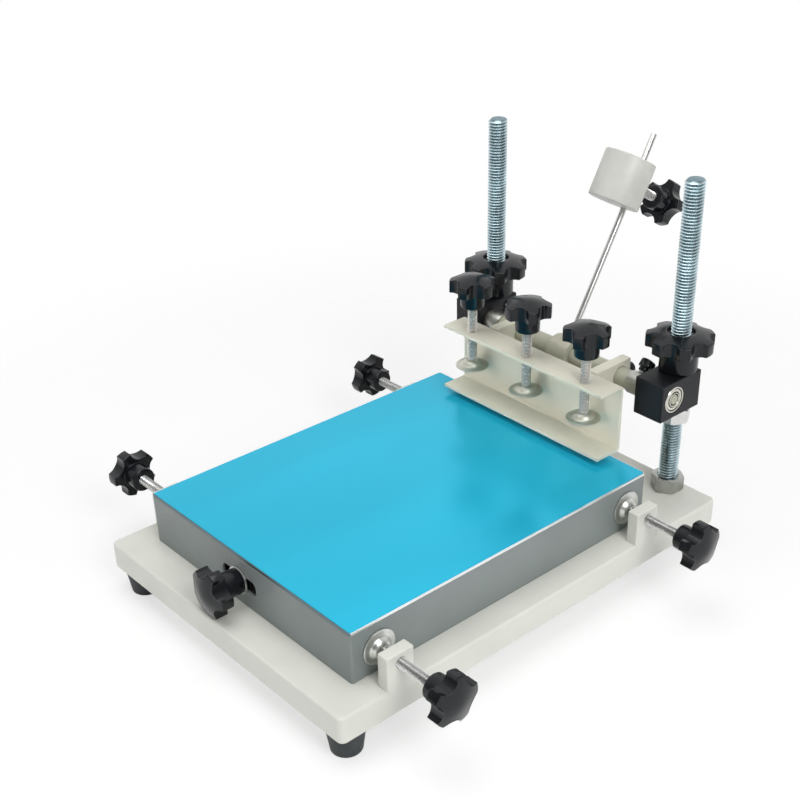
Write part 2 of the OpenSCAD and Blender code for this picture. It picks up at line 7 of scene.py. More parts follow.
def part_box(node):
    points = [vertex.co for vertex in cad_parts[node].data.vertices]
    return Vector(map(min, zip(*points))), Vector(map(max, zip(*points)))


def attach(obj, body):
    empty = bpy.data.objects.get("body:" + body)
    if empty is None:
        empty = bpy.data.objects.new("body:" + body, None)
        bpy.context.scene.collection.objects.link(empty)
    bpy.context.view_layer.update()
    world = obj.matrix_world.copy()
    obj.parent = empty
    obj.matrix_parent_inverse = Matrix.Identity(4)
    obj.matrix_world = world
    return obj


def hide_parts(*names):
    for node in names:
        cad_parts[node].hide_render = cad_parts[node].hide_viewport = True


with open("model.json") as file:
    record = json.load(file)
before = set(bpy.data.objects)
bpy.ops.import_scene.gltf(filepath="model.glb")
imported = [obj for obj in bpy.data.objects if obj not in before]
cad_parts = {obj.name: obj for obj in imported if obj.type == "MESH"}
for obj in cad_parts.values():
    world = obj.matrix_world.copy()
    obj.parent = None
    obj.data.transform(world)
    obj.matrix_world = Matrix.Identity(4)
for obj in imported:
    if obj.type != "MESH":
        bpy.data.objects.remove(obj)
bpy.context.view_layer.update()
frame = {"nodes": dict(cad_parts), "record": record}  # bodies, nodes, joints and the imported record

mm = 0.001
mergeGap = 1e-6  # points nearer than this are one
joints = {joint["name"]: joint for joint in frame["record"]["behaviour"]["joints"]}
corners = ["front_left", "front_right", "rear_left", "rear_right"]
places = ["left", "middle", "right"]
sides = ["left", "right"]
xAxis, yAxis, zAxis = Vector((1, 0, 0)), Vector((0, 1, 0)), Vector((0, 0, 1))


def spotOf(joint):
    return Vector(joints[joint]["pos_m"])


print("frame loaded")


# picking and modes

def clearPick():
    if bpy.context.object and bpy.context.object.mode != "OBJECT":
        bpy.ops.object.mode_set(mode="OBJECT")
    bpy.ops.object.select_all(action="DESELECT")


def pickOnly(piece):
    clearPick()
    piece.select_set(True)
    bpy.context.view_layer.objects.active = piece


def named(name):
    piece = bpy.context.object
    piece.name = name
    piece.data.name = name
    return piece


def startPick(piece, faces):
    pickOnly(piece)
    bpy.context.tool_settings.mesh_select_mode = (False, not faces, faces)
    mesh = piece.data
    for group in (mesh.vertices, mesh.edges, mesh.polygons):
        group.foreach_set("select", [False] * len(group))
    return mesh


def pickFaces(piece, test):
    for face in startPick(piece, True).polygons:
        face.select = test(face.center, face.normal)
    bpy.ops.object.mode_set(mode="EDIT")


def pickEdges(piece, test):
    mesh = startPick(piece, False)
    for edge in mesh.edges:
        a, b = (mesh.vertices[i].co for i in edge.vertices)
        edge.select = test(a, b)
    bpy.ops.object.mode_set(mode="EDIT")


# shaping

def closeShell():
    bpy.ops.mesh.select_all(action="SELECT")
    bpy.ops.mesh.remove_doubles(threshold=mergeGap)
    bpy.ops.mesh.normals_make_consistent(inside=False)
    bpy.ops.object.mode_set(mode="OBJECT")


def startLine(name, points):
    clearPick()
    bpy.ops.mesh.primitive_plane_add(size=mm, location=(0, 0, 0))
    piece = named(name)
    bpy.ops.object.mode_set(mode="EDIT")
    bpy.ops.mesh.select_mode(type="VERT")
    bpy.ops.mesh.select_all(action="SELECT")
    bpy.ops.mesh.merge(type="CENTER")  # one point to draw the line from
    bpy.ops.transform.translate(value=points[0])
    for a, b in zip(points, points[1:]):
        step = [q - p for p, q in zip(a, b)]
        bpy.ops.mesh.extrude_region_move(TRANSFORM_OT_translate={"value": step})
    return piece


def turnedPiece(name, profile, steps=64):  # profile of radius and height in mm
    piece = startLine(name, [(r * mm, 0, z * mm) for r, z in profile])
    bpy.ops.mesh.select_all(action="SELECT")
    bpy.ops.mesh.spin(steps=steps, angle=2 * math.pi, center=(0, 0, 0), axis=(0, 0, 1))
    closeShell()
    return piece


def bothEnds(end):  # profile that is the same at its other end
    return [(r, -z) for r, z in reversed(end)] + end


def threadPiece(name, thread, low, high):  # screw along Z from low to high, in mm
    radius, pitch, depth = thread["radius"], thread["pitch"], thread["depth"]
    start = low - 1.5 * pitch
    root = radius - depth
    profile = [  # narrow flat at the root, narrower one on the crest
        (root, start), (root, start + 0.14 * pitch),
        (radius, start + 0.5 * pitch), (radius, start + 0.62 * pitch), (root, start + pitch),
    ]
    piece = startLine(name, [(r * mm, 0, z * mm) for r, z in profile])
    bpy.ops.object.mode_set(mode="OBJECT")
    turn = piece.modifiers.new("turn", "SCREW")
    turn.steps = turn.render_steps = thread["steps"]
    turn.iterations = math.ceil((high - low) / pitch) + 3
    turn.screw_offset = pitch * mm
    turn.use_merge_vertices = True
    turn.merge_threshold = mergeGap
    bpy.ops.object.modifier_apply(modifier=turn.name)
    bpy.ops.object.mode_set(mode="EDIT")
    bpy.ops.mesh.select_all(action="SELECT")
    bpy.ops.mesh.remove_doubles(threshold=mergeGap)
    for height, inner in ((low, True), (high, False)):
        bpy.ops.mesh.select_all(action="SELECT")
        bpy.ops.mesh.bisect(plane_co=(0, 0, height * mm), plane_no=(0, 0, 1), use_fill=True,
                            clear_inner=inner, clear_outer=not inner, threshold=mergeGap)
    closeShell()
    return piece


def boxPiece(name, low, high):
    clearPick()
    low, high = Vector(low), Vector(high)
    bpy.ops.mesh.primitive_cube_add(size=1, location=(low + high) / 2, scale=high - low)
    bpy.ops.object.transform_apply(location=True, rotation=True, scale=True)
    return named(name)


def roundPiece(name, radius, start, end, sideCount=48):  # plain bar, for cutting
    clearPick()
    start, end = Vector(start), Vector(end)
    axis = end - start
    bpy.ops.mesh.primitive_cylinder_add(
        vertices=sideCount, radius=radius, depth=axis.length, location=(start + end) / 2,
        rotation=axis.to_track_quat("Z", "Y").to_euler())
    bpy.ops.object.transform_apply(location=True, rotation=True, scale=True)
    return named(name)


def cutWith(piece, cutter, how="DIFFERENCE"):
    pickOnly(piece)
    cut = piece.modifiers.new("cut", "BOOLEAN")
    cut.operation = how
    cut.solver = "EXACT"
    cut.object = cutter
    bpy.ops.object.modifier_apply(modifier=cut.name)
    pickOnly(cutter)
    bpy.ops.object.delete()
    pickOnly(piece)


def softenEdges(piece, width, segments=3, angle=35):
    pickOnly(piece)
    edge = piece.modifiers.new("edge", "BEVEL")
    edge.width = width
    edge.segments = segments
    edge.limit_method = "ANGLE"
    edge.angle_limit = math.radians(angle)
    bpy.ops.object.modifier_apply(modifier=edge.name)


def thicken(piece, wall):  # sheet grows inwards from the outer faces
    pickOnly(piece)
    sheet = piece.modifiers.new("sheet", "SOLIDIFY")
    sheet.thickness = wall
    sheet.offset = -1
    sheet.use_even_offset = True
    bpy.ops.object.modifier_apply(modifier=sheet.name)


def smoothFaces(piece, angle=35):
    pickOnly(piece)
    bpy.ops.object.shade_smooth_by_angle(angle=math.radians(angle))


def flatFaces(piece, angle=40):  # smooth bends that leave the large faces flat
    smoothFaces(piece, angle)
    level = piece.modifiers.new("level", "WEIGHTED_NORMAL")
    level.keep_sharp = True
    level.weight = 100
    bpy.ops.object.modifier_apply(modifier=level.name)


def onAxis(start, axis, side, turn=0.0):  # local Z along axis, local X along side
    w = Vector(axis).normalized()
    u = Vector(side).normalized()
    v = w.cross(u)
    place = Matrix((
        (u.x, v.x, w.x, start[0]), (u.y, v.y, w.y, start[1]), (u.z, v.z, w.z, start[2]), (0, 0, 0, 1)))
    return place @ Matrix.Rotation(math.radians(turn), 4, "Z")


def putAt(piece, place):
    pickOnly(piece)
    piece.matrix_world = place
    bpy.ops.object.transform_apply(location=True, rotation=True, scale=True)
    return piece


def copyTo(piece, name, place):
    pickOnly(piece)
    bpy.ops.object.duplicate()
    return putAt(named(name), place)


def dropPiece(piece):
    pickOnly(piece)
    bpy.ops.object.delete()


def joinPieces(name, pieces):
    clearPick()
    for piece in pieces:
        piece.select_set(True)
    bpy.context.view_layer.objects.active = pieces[0]
    bpy.ops.object.join()
    return named(name)


def dress(piece, finish, body, slot, *nodes):
    piece.data.materials.clear()
    piece.data.materials.append(finish)
    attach(piece, body)
    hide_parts(*nodes)


# finishes

def newFinish(name, color, rough, metal=0.0, specular=0.5):
    finish = bpy.data.materials.new(name)
    finish.use_nodes = True
    surface = finish.node_tree.nodes["Principled BSDF"]
    surface.inputs["Base Color"].default_value = (*color, 1)
    surface.inputs["Roughness"].default_value = rough
    surface.inputs["Metallic"].default_value = metal
    surface.inputs["Specular IOR Level"].default_value = specular
    return finish, finish.node_tree, surface


def noiseOf(tree, scale, detail=2.0, stretch=(1, 1, 1)):
    spot = tree.nodes.new("ShaderNodeTexCoord")
    place = tree.nodes.new("ShaderNodeMapping")
    place.inputs["Scale"].default_value = stretch
    noise = tree.nodes.new("ShaderNodeTexNoise")
    noise.inputs["Scale"].default_value = scale
    noise.inputs["Detail"].default_value = detail
    tree.links.new(spot.outputs["Object"], place.inputs["Vector"])
    tree.links.new(place.outputs["Vector"], noise.inputs["Vector"])
    return noise.outputs["Fac"]


def tintBy(tree, surface, value, dark, light, low=0.35, high=0.65):
    ramp = tree.nodes.new("ShaderNodeValToRGB")
    ramp.color_ramp.interpolation = "EASE"
    ramp.color_ramp.elements[0].position = low
    ramp.color_ramp.elements[0].color = (*dark, 1)
    ramp.color_ramp.elements[1].position = high
    ramp.color_ramp.elements[1].color = (*light, 1)
    tree.links.new(value, ramp.inputs["Fac"])
    tree.links.new(ramp.outputs["Color"], surface.inputs["Base Color"])


def roughBy(tree, surface, value, low, high):
    spread = tree.nodes.new("ShaderNodeMapRange")
    spread.interpolation_type = "SMOOTHSTEP"
    spread.inputs["From Min"].default_value = 0.3
    spread.inputs["From Max"].default_value = 0.7
    spread.inputs["To Min"].default_value = low
    spread.inputs["To Max"].default_value = high
    tree.links.new(value, spread.inputs["Value"])
    tree.links.new(spread.outputs["Result"], surface.inputs["Roughness"])


def bumpBy(tree, surface, value, strength, distance):
    bump = tree.nodes.new("ShaderNodeBump")
    bump.inputs["Strength"].default_value = strength
    bump.inputs["Distance"].default_value = distance
    tree.links.new(value, bump.inputs["Height"])
    tree.links.new(bump.outputs["Normal"], surface.inputs["Normal"])


def shaded(color, factor):
    return tuple(c * factor for c in color)


paintGrain = {"spread": 0.08, "deep": 0.05 * mm}
metalLines = {"deep": 0.03 * mm}
plasticGrain = {"dark": 0.85, "light": 1.2, "deep": 0.04 * mm}


def paintFinish(name, paint):
    color, rough = paint["color"], paint["rough"]
    finish, tree, surface = newFinish(name, color, rough, specular=paint["specular"])
    patches = noiseOf(tree, paint["patchScale"], 3)
    tintBy(tree, surface, patches, shaded(color, paint["dark"]), shaded(color, paint["light"]))
    grain = noiseOf(tree, paint["grainScale"], 2)
    roughBy(tree, surface, grain, rough - paintGrain["spread"], rough + paintGrain["spread"])
    bumpBy(tree, surface, grain, paint["bump"], paintGrain["deep"])
    return finish


def paintGrooveShade(tree, surface, shadeTone):  # painted shade: darkens the roots of a thread and the other marked hollows
    depth = tree.nodes.new("ShaderNodeAttribute")
    depth.attribute_name = "grooveShade"
    mix = tree.nodes.new("ShaderNodeMix")
    mix.data_type = "RGBA"
    mix.blend_type = "MULTIPLY"
    mix.inputs["B"].default_value = (*shadeTone, 1)
    plain = surface.inputs["Base Color"].links[0].from_socket
    tree.links.new(depth.outputs["Fac"], mix.inputs["Factor"])
    tree.links.new(plain, mix.inputs["A"])
    tree.links.new(mix.outputs["Result"], surface.inputs["Base Color"])


def metalFinish(name, metal):
    color, rough = metal["color"], metal["rough"]
    finish, tree, surface = newFinish(name, color, rough, metal=metal.get("share", 1.0))
    patches = noiseOf(tree, metal["patchScale"], 3)
    tintBy(tree, surface, patches, shaded(color, metal["dark"]), shaded(color, metal["light"]))
    # painted shade in the hollows that the mesh marks
    if "grooveShade" in metal:
        paintGrooveShade(tree, surface, metal["grooveShade"])
    lines = noiseOf(tree, metal["lineScale"], 2, metal["stretch"])
    roughBy(tree, surface, lines, rough - metal["spread"], rough + metal["spread"])
    bumpBy(tree, surface, lines, metal["bump"], metalLines["deep"])
    return finish


def plasticFinish(name, plastic):
    color, rough = plastic["color"], plastic["rough"]
    finish, tree, surface = newFinish(name, color, rough, specular=plastic["specular"])
    patches = noiseOf(tree, plastic["patchScale"], 3)
    tintBy(tree, surface, patches, shaded(color, plasticGrain["dark"]), shaded(color, plasticGrain["light"]))
    roughBy(tree, surface, patches, rough - plastic["spread"], rough + plastic["spread"])
    grain = noiseOf(tree, plastic["grainScale"], 2)
    bumpBy(tree, surface, grain, plastic["bump"], plasticGrain["deep"])
    return finish


creamPaint = paintFinish("creamPaint", {
    "color": (0.665, 0.67, 0.615), "rough": 0.42, "specular": 0.45, "patchScale": 22, "dark": 0.97, "light": 1.025,
    "grainScale": 900, "bump": 0.2})
framePaint = paintFinish("framePaint", {
    "color": (0.665, 0.655, 0.545), "rough": 0.42, "specular": 0.45, "patchScale": 30, "dark": 0.97, "light": 1.025,
    "grainScale": 900, "bump": 0.2})
shaftPaint = paintFinish("shaftPaint", {
    "color": (0.395, 0.395, 0.315), "rough": 0.38, "specular": 0.45, "patchScale": 40, "dark": 0.96, "light": 1.03,
    "grainScale": 900, "bump": 0.15})
weightPaint = paintFinish("weightPaint", {
    "color": (0.56, 0.553, 0.52), "rough": 0.4, "specular": 0.5, "patchScale": 45, "dark": 0.95, "light": 1.04,
    "grainScale": 700, "bump": 0.35})
greyPaint = paintFinish("greyPaint", {
    "color": (0.21, 0.24, 0.237), "rough": 0.36, "specular": 0.5, "patchScale": 14, "dark": 0.95, "light": 1.04,
    "grainScale": 1100, "bump": 0.1})
knobBlack = plasticFinish("knobBlack", {
    "color": (0.005, 0.0062, 0.0082), "rough": 0.2, "spread": 0.04, "specular": 0.36, "patchScale": 60,
    "grainScale": 1500, "bump": 0.05})
blockBlack = plasticFinish("blockBlack", {
    "color": (0.008, 0.009, 0.011), "rough": 0.38, "spread": 0.05, "specular": 0.24, "patchScale": 40,
    "grainScale": 1300, "bump": 0.12})
footRubber = plasticFinish("footRubber", {
    "color": (0.046, 0.051, 0.054), "rough": 0.5, "spread": 0.06, "specular": 0.2, "patchScale": 70,
    "grainScale": 900, "bump": 0.25})
# painted shade: the colour given for hollows darkens thread roots, bearing ring hollows and the inner washer
brightZinc = metalFinish("brightZinc", {
    "color": (0.69, 0.705, 0.675), "rough": 0.32, "spread": 0.04, "patchScale": 60, "dark": 0.94, "light": 1.04,
    "lineScale": 400, "stretch": (1, 1, 1), "bump": 0.02, "grooveShade": (0.04, 0.04, 0.04)})
padZinc = metalFinish("padZinc", {
    "color": (0.61, 0.605, 0.53), "rough": 0.44, "spread": 0.04, "patchScale": 60, "dark": 0.92, "light": 1.05,
    "lineScale": 400, "stretch": (1, 1, 1), "bump": 0.02})
studZinc = metalFinish("studZinc", {
    "color": (0.87, 0.875, 0.86), "rough": 0.24, "spread": 0.04, "patchScale": 60, "dark": 0.92, "light": 1.05,
    "lineScale": 400, "stretch": (1, 1, 1), "bump": 0.02, "grooveShade": (0.22, 0.22, 0.22), "share": 0.9})
clampZinc = metalFinish("clampZinc", {
    "color": (0.96, 0.94, 0.89), "rough": 0.24, "spread": 0.04, "patchScale": 60, "dark": 0.92, "light": 1.04,
    "lineScale": 400, "stretch": (1, 1, 1), "bump": 0.02, "grooveShade": (0.26, 0.26, 0.25), "share": 0.5})
blueZinc = metalFinish("blueZinc", {
    "color": (0.68, 0.81, 0.84), "rough": 0.3, "spread": 0.06, "patchScale": 70, "dark": 0.82, "light": 1.12,
    "lineScale": 500, "stretch": (1, 1, 0.4), "bump": 0.04, "grooveShade": (0.26, 0.35, 0.39)})
dullZinc = metalFinish("dullZinc", {
    "color": (0.44, 0.45, 0.43), "rough": 0.32, "spread": 0.06, "patchScale": 60, "dark": 0.86, "light": 1.1,
    "lineScale": 500, "stretch": (1, 1, 0.3), "bump": 0.08})
whiteZinc = metalFinish("whiteZinc", {
    "color": (0.74, 0.74, 0.73), "rough": 0.42, "spread": 0.06, "patchScale": 60, "dark": 0.92, "light": 1.05,
    "lineScale": 500, "stretch": (1, 1, 0.3), "bump": 0.06})
bossSteel = metalFinish("bossSteel", {
    "color": (0.52, 0.525, 0.48), "rough": 0.4, "spread": 0.06, "patchScale": 70, "dark": 0.9, "light": 1.07,
    "lineScale": 600, "stretch": (4, 1, 1), "bump": 0.06})
bearingSteel = metalFinish("bearingSteel", {
    "color": (0.66, 0.65, 0.59), "rough": 0.22, "spread": 0.05, "patchScale": 90, "dark": 0.92, "light": 1.05,
    "lineScale": 600, "stretch": (1, 1, 1), "bump": 0.03, "grooveShade": (0.05, 0.05, 0.045)})
plateMetal = metalFinish("plateMetal", {
    "color": (0.9, 0.91, 0.92), "rough": 0.4, "spread": 0.06, "patchScale": 60, "dark": 0.95, "light": 1.03,
    "lineScale": 500, "stretch": (0.1, 0.1, 4), "bump": 0.05})
balanceSteel = metalFinish("balanceSteel", {
    "color": (0.7, 0.7, 0.68), "rough": 0.3, "spread": 0.02, "patchScale": 60, "dark": 0.93, "light": 1.05,
    "lineScale": 60, "stretch": (6, 1, 1), "bump": 0.003})
screwBlack = metalFinish("screwBlack", {
    "color": (0.03, 0.03, 0.032), "rough": 0.36, "spread": 0.07, "patchScale": 120, "dark": 0.85, "light": 1.15,
    "lineScale": 900, "stretch": (1, 1, 1), "bump": 0.06})

filmLook = {
    "color": (0.016, 0.47, 0.69), "dark": 0.94, "light": 1.06, "rough": 0.2, "roughLow": 0.18, "roughHigh": 0.24,
    "metal": 0.32, "specular": 0.2, "patchScale": 7, "stretch": (1, 0.25, 1), "waveScale": 26, "bump": 0.08,
    "deep": 0.05 * mm}
blueFilm, tree, surface = newFinish(
    "blueFilm", filmLook["color"], filmLook["rough"], filmLook["metal"], filmLook["specular"])
sheen = noiseOf(tree, filmLook["patchScale"], 2, filmLook["stretch"])
filmColor = filmLook["color"]
tintBy(tree, surface, sheen, shaded(filmColor, filmLook["dark"]), shaded(filmColor, filmLook["light"]))
roughBy(tree, surface, sheen, filmLook["roughLow"], filmLook["roughHigh"])
bumpBy(tree, surface, noiseOf(tree, filmLook["waveScale"], 1), filmLook["bump"], filmLook["deep"])
print("finishes made")


# base pan, folded from sheet

basePan = {"corner": 5 * mm, "bend": 2.2 * mm, "wall": 3 * mm, "lip": 33 * mm}
low, high = (Vector(p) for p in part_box("base_pan"))
pan = boxPiece("basePan", low, high)
pickEdges(pan, lambda a, b: abs(a.z - b.z) > 0.01)
bpy.ops.mesh.bevel(offset=basePan["corner"], segments=8, affect="EDGES")
pickFaces(pan, lambda c, n: n.z < -0.9)
bpy.ops.mesh.delete(type="ONLY_FACE")
pickEdges(pan, lambda a, b: max(a.z, b.z) < low.z + mm)
bpy.ops.mesh.extrude_edges_move()
size = high - low
bpy.ops.transform.resize(value=(1 - 2 * basePan["lip"] / size.x, 1 - 2 * basePan["lip"] / size.y, 1))
bpy.ops.object.mode_set(mode="OBJECT")
softenEdges(pan, basePan["bend"], 4, 50)
pickOnly(pan)
bpy.ops.object.mode_set(mode="EDIT")
closeShell()
thicken(pan, basePan["wall"])
flatFaces(pan, 40)
dress(pan, creamPaint, "base", "cream_paint", "base_pan")
print("base pan made")


# side posts, with the screw holes

sidePost = {"thick": 10.2 * mm, "wide": 24 * mm, "tall": 28 * mm, "edge": 1.1 * mm, "hole": 4.3 * mm,
            "reach": 20 * mm}
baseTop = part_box("base_pan")[1][2]
posts = []
for corner in corners:
    spot = spotOf("side_screw_" + corner + "_turn")
    out = 1 if "right" in corner else -1
    near, far = sorted((spot.x, spot.x + out * sidePost["thick"]))
    foot = baseTop - basePan["bend"]  # fills the pan's bend
    post = boxPiece("post", (near, spot.y - sidePost["wide"] / 2, foot),
                    (far, spot.y + sidePost["wide"] / 2, baseTop + sidePost["tall"]))
    pickEdges(post, lambda a, b: max(a.z, b.z) > foot + mm)
    bpy.ops.mesh.bevel(offset=sidePost["edge"], segments=3, affect="EDGES")
    bpy.ops.object.mode_set(mode="OBJECT")
    reach = xAxis * sidePost["reach"]
    cutWith(post, roundPiece("hole", sidePost["hole"], spot - reach, spot + reach))
    posts.append(post)
posts = joinPieces("sidePosts", posts)
flatFaces(posts, 40)
dress(posts, creamPaint, "base", "cream_paint", "side_posts")

# rubber feet

footTop = 14.5 * mm
foot = turnedPiece("foot", [
    (2.6, 7), (5.5, 7), (5.5, 0.7), (6.1, 0), (10.7, 0), (11.3, 0.3), (11.6, 1), (12.6, 8), (13.9, 17),
    (14.3, 19.6), (14.5, 20.4), (14.2, 21), (2.6, 21), (2.6, 7)], 72)
low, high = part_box("rubber_feet")
feet = []
for x in (low[0] + footTop, high[0] - footTop):
    for y in (low[1] + footTop, high[1] - footTop):
        feet.append(copyTo(foot, "foot", Matrix.Translation((x, y, low[2]))))
dropPiece(foot)
feet = joinPieces("rubberFeet", feet)
smoothFaces(feet, 40)
dress(feet, footRubber, "base", "foot_rubber", "rubber_feet")
print("posts and feet made")


# upright rods with their nuts

rodThread = {"radius": 8, "pitch": 2.5, "depth": 1.25, "steps": 36, "chamfer": 1.3}
studThread = {"radius": 4, "pitch": 1.25, "depth": 0.75, "steps": 22, "chamfer": 0.8}
lockThread = {"radius": 2.5, "pitch": 0.8, "depth": 0.45, "steps": 18, "chamfer": 0.5}


def markPaintedShade(piece, rule):  # painted shade mask: 0 on the surface, 1 at the bottom of a hollow
    grooveShade = piece.data.attributes.new("grooveShade", "FLOAT", "POINT")
    for point, mark in zip(piece.data.vertices, grooveShade.data):
        mark.value = min(max(rule(math.hypot(point.co.x, point.co.y) / mm, point.co.z / mm), 0), 1)


tipShare = 0.84  # how much of a screw's radius is left at its tips


def screwPiece(name, thread, length):  # thread with tapered ends, from 0 to length in mm
    chamfer = thread["chamfer"]
    piece = threadPiece(name, thread, chamfer, length - chamfer)
    for height, step in ((chamfer, -chamfer), (length - chamfer, chamfer)):
        pickFaces(piece, lambda c, n: abs(c.z - height * mm) < 0.02 * mm and abs(n.z) > 0.9)
        bpy.ops.mesh.extrude_region_move(TRANSFORM_OT_translate={"value": (0, 0, step * mm)})
        bpy.ops.transform.resize(value=(tipShare, tipShare, 1), center_override=(0, 0, height * mm))
        bpy.ops.object.mode_set(mode="OBJECT")
    # painted shade, deepest at the roots of the thread
    markPaintedShade(piece, lambda r, z: (thread["radius"] - r) / thread["depth"])
    smoothFaces(piece, 25)
    return piece


nutCut = {"face": 0.95, "slope": 0.55, "mouth": 1, "play": 0.06, "sink": 0.9, "past": 0.2, "edge": 0.3 * mm,
          "sliver": 0.01 * mm}


def hexNut(name, nut):  # corners along X, lower face at 0
    flat = nut["thread"] + nut["wall"]
    corner = flat / math.cos(math.pi / 6)
    tall = nut["tall"]
    clearPick()
    bpy.ops.mesh.primitive_cylinder_add(
        vertices=6, radius=corner * mm, depth=tall * mm, location=(0, 0, tall / 2 * mm), rotation=(0, 0, math.pi / 6))
    bpy.ops.object.transform_apply(location=True, rotation=True, scale=True)
    piece = named(name)
    face = flat * nutCut["face"]
    edge = (corner - face) * nutCut["slope"]
    over = corner + 0.05
    crown = turnedPiece("crown", [(0, 0), (face, 0), (over, edge), (over, tall - edge), (face, tall), (0, tall)], 72)
    cutWith(piece, crown, "INTERSECT")
    mouth, hole = nut["thread"] + nutCut["mouth"], nut["thread"] + nutCut["play"]
    sink, past = nutCut["sink"], nutCut["past"]
    bore = turnedPiece("bore", [
        (0, -past), (mouth, -past), (hole, sink), (hole, tall - sink), (mouth, tall + past), (0, tall + past)], 48)
    cutWith(piece, bore)
    softenEdges(piece, nutCut["edge"], 2, 40)
    bpy.ops.object.mode_set(mode="EDIT")
    bpy.ops.mesh.select_all(action="SELECT")
    bpy.ops.mesh.dissolve_degenerate(threshold=nutCut["sliver"])
    bpy.ops.mesh.remove_doubles(threshold=nutCut["sliver"])
    bpy.ops.mesh.normals_make_consistent(inside=False)
    bpy.ops.object.mode_set(mode="OBJECT")
    smoothFaces(piece, 22)
    return piece


rodNut = {"thread": 8, "wall": 4, "tall": 13, "turn": 30}
nut = hexNut("nut", rodNut)
baseNuts = []
for side in sides:
    low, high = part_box("threaded_rod_" + side)
    rod = screwPiece("threadedRod" + side.capitalize(), rodThread, (high[2] - low[2]) / mm)
    spot = spotOf("star_nut_" + side + "_turn")
    putAt(rod, Matrix.Translation((spot.x, spot.y, low[2])))
    dress(rod, blueZinc, "base", "blue_zinc", "threaded_rod_" + side)
    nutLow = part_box("rod_base_nuts")[0][2]
    baseNuts.append(copyTo(nut, "baseNut", onAxis((spot.x, spot.y, baseTop), zAxis, xAxis, rodNut["turn"])))
    baseNuts.append(copyTo(nut, "baseNut", onAxis((spot.x, spot.y, nutLow), zAxis, xAxis)))
    lowerSpot = (spot.x, spot.y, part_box("lower_nut_" + side)[0][2])
    lower = copyTo(nut, "lowerNut" + side.capitalize(), onAxis(lowerSpot, zAxis, xAxis))
    dress(lower, whiteZinc, "lower_nut_" + side, "white_zinc", "lower_nut_" + side)
dropPiece(nut)
dress(joinPieces("rodBaseNuts", baseNuts), dullZinc, "base", "dull_zinc", "rod_base_nuts")
print("rods and nuts made")


# star knobs

def starReach(star, angle):  # edge of the star at an angle, with rounded lobes
    reach = star["radius"]
    centre = star["radius"] - star["valley"] + star["valleyRound"]
    step = 2 * math.pi / star["lobes"]
    off = (angle + step / 2) % step - step / 2
    square = star["valleyRound"] ** 2 - (centre * math.sin(off)) ** 2
    if square <= 0:
        return reach
    inner = centre * math.cos(off) - math.sqrt(square)
    soft = star["soft"]
    return -soft * math.log(math.exp(-reach / soft) + math.exp(-inner / soft))


pullEase = 1.4  # more pull towards the edge of the star


def pullValleys(piece, star):  # draws the head in between the lobes and keeps its dome
    def dome(r):
        return -star["dome"] * (r / star["radius"]) ** 2
    for point in piece.data.vertices:
        r = math.hypot(point.co.x, point.co.y) / mm
        z = point.co.z / mm
        if r < 0.01 or z < star["under"] - 0.01 or r < star["keep"]:
            continue
        share = ((r - star["keep"]) / (star["radius"] - star["keep"])) ** pullEase
        ratio = 1 + (starReach(star, math.atan2(point.co.y, point.co.x)) / star["radius"] - 1) * min(share, 1)
        rise = min(max((z - star["sideLow"]) / (star["sideHigh"] - star["sideLow"]), 0), 1)
        point.co.x *= ratio
        point.co.y *= ratio
        point.co.z = (z + (dome(r * ratio) - dome(r)) * rise) * mm


knobStar = {"radius": 19.25, "valley": 6, "valleyRound": 9, "lobes": 5, "soft": 0.22, "dome": 4.4, "under": 12.55,
            "keep": 7.0, "sideLow": 14.5, "sideHigh": 21.5}
knobProfile = [
    (0, 11.8), (4.15, 11.8), (4.15, 0.8), (4.8, 0), (8.9, 0), (9.5, 0.2), (9.85, 0.6), (10, 1.2), (10.15, 5),
    (10.25, 11.9), (10.35, 12.3), (10.7, 12.52), (11.3, 12.58), (14, 12.6), (17.6, 12.6), (18.65, 12.65),
    (19, 12.85), (19.2, 13.15), (19.25, 13.5), (19.25, 17.5), (19.25, 22), (19.2, 22.3), (19.08, 22.52),
    (18.85, 22.72), (18.4, 22.9), (17.6, 23.15), (16, 23.75), (14, 24.45), (11.5, 25.25), (9, 26), (6.5, 26.65),
    (4, 27.15), (2, 27.42), (0, 27.5)]
knob = turnedPiece("knob", knobProfile, 240)
pullValleys(knob, knobStar)
smoothFaces(knob, 50)

# screws with swivel pads at the table's sides

pad = turnedPiece("pad", [
    (0, 0), (12.9, 0), (13.5, 0.1), (13.9, 0.4), (14, 0.75), (13.9, 1.05), (13.5, 1.25), (12.2, 1.45),
    (10.8, 1.7), (9.6, 2.05), (8.9, 2.5), (8.4, 3.1), (7.9, 3.8), (7.3, 4.5), (6.6, 5.1), (5.8, 5.6),
    (5.1, 5.9), (4.6, 6), (4.25, 5.8), (4.15, 5.4), (4.15, 2.1), (0, 2.1)], 80)
smoothFaces(pad, 40)
sideTurn = {"front_left": 18, "front_right": 58, "rear_left": 67, "rear_right": 70}
for corner in corners:
    title = "".join(word.capitalize() for word in corner.split("_"))
    spot = spotOf("side_screw_" + corner + "_turn")
    out = 1 if "right" in corner else -1
    end = 1 if out > 0 else 0
    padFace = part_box("side_pad_" + corner)[1 - end][0]
    swivel = copyTo(pad, "sidePad" + title, onAxis((padFace, spot.y, spot.z), xAxis * out, zAxis * -out))
    dress(swivel, brightZinc, "side_pad_" + corner, "bright_zinc", "side_pad_" + corner)
    low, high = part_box("side_stud_" + corner)
    stud = screwPiece("sideStud" + title, studThread, (high[0] - low[0]) / mm)
    putAt(stud, onAxis((low[0] if out > 0 else high[0], spot.y, spot.z), xAxis * out, zAxis * -out))
    dress(stud, studZinc, "side_screw_" + corner, "bright_zinc", "side_stud_" + corner)
    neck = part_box("side_knob_" + corner)[1 - end][0]
    turn = sideTurn[corner]
    grip = copyTo(knob, "sideKnob" + title, onAxis((neck, spot.y, spot.z), xAxis * out, zAxis * -out, turn))
    dress(grip, knobBlack, "side_screw_" + corner, "knob_black", "side_knob_" + corner)

# clamp screws in the channel

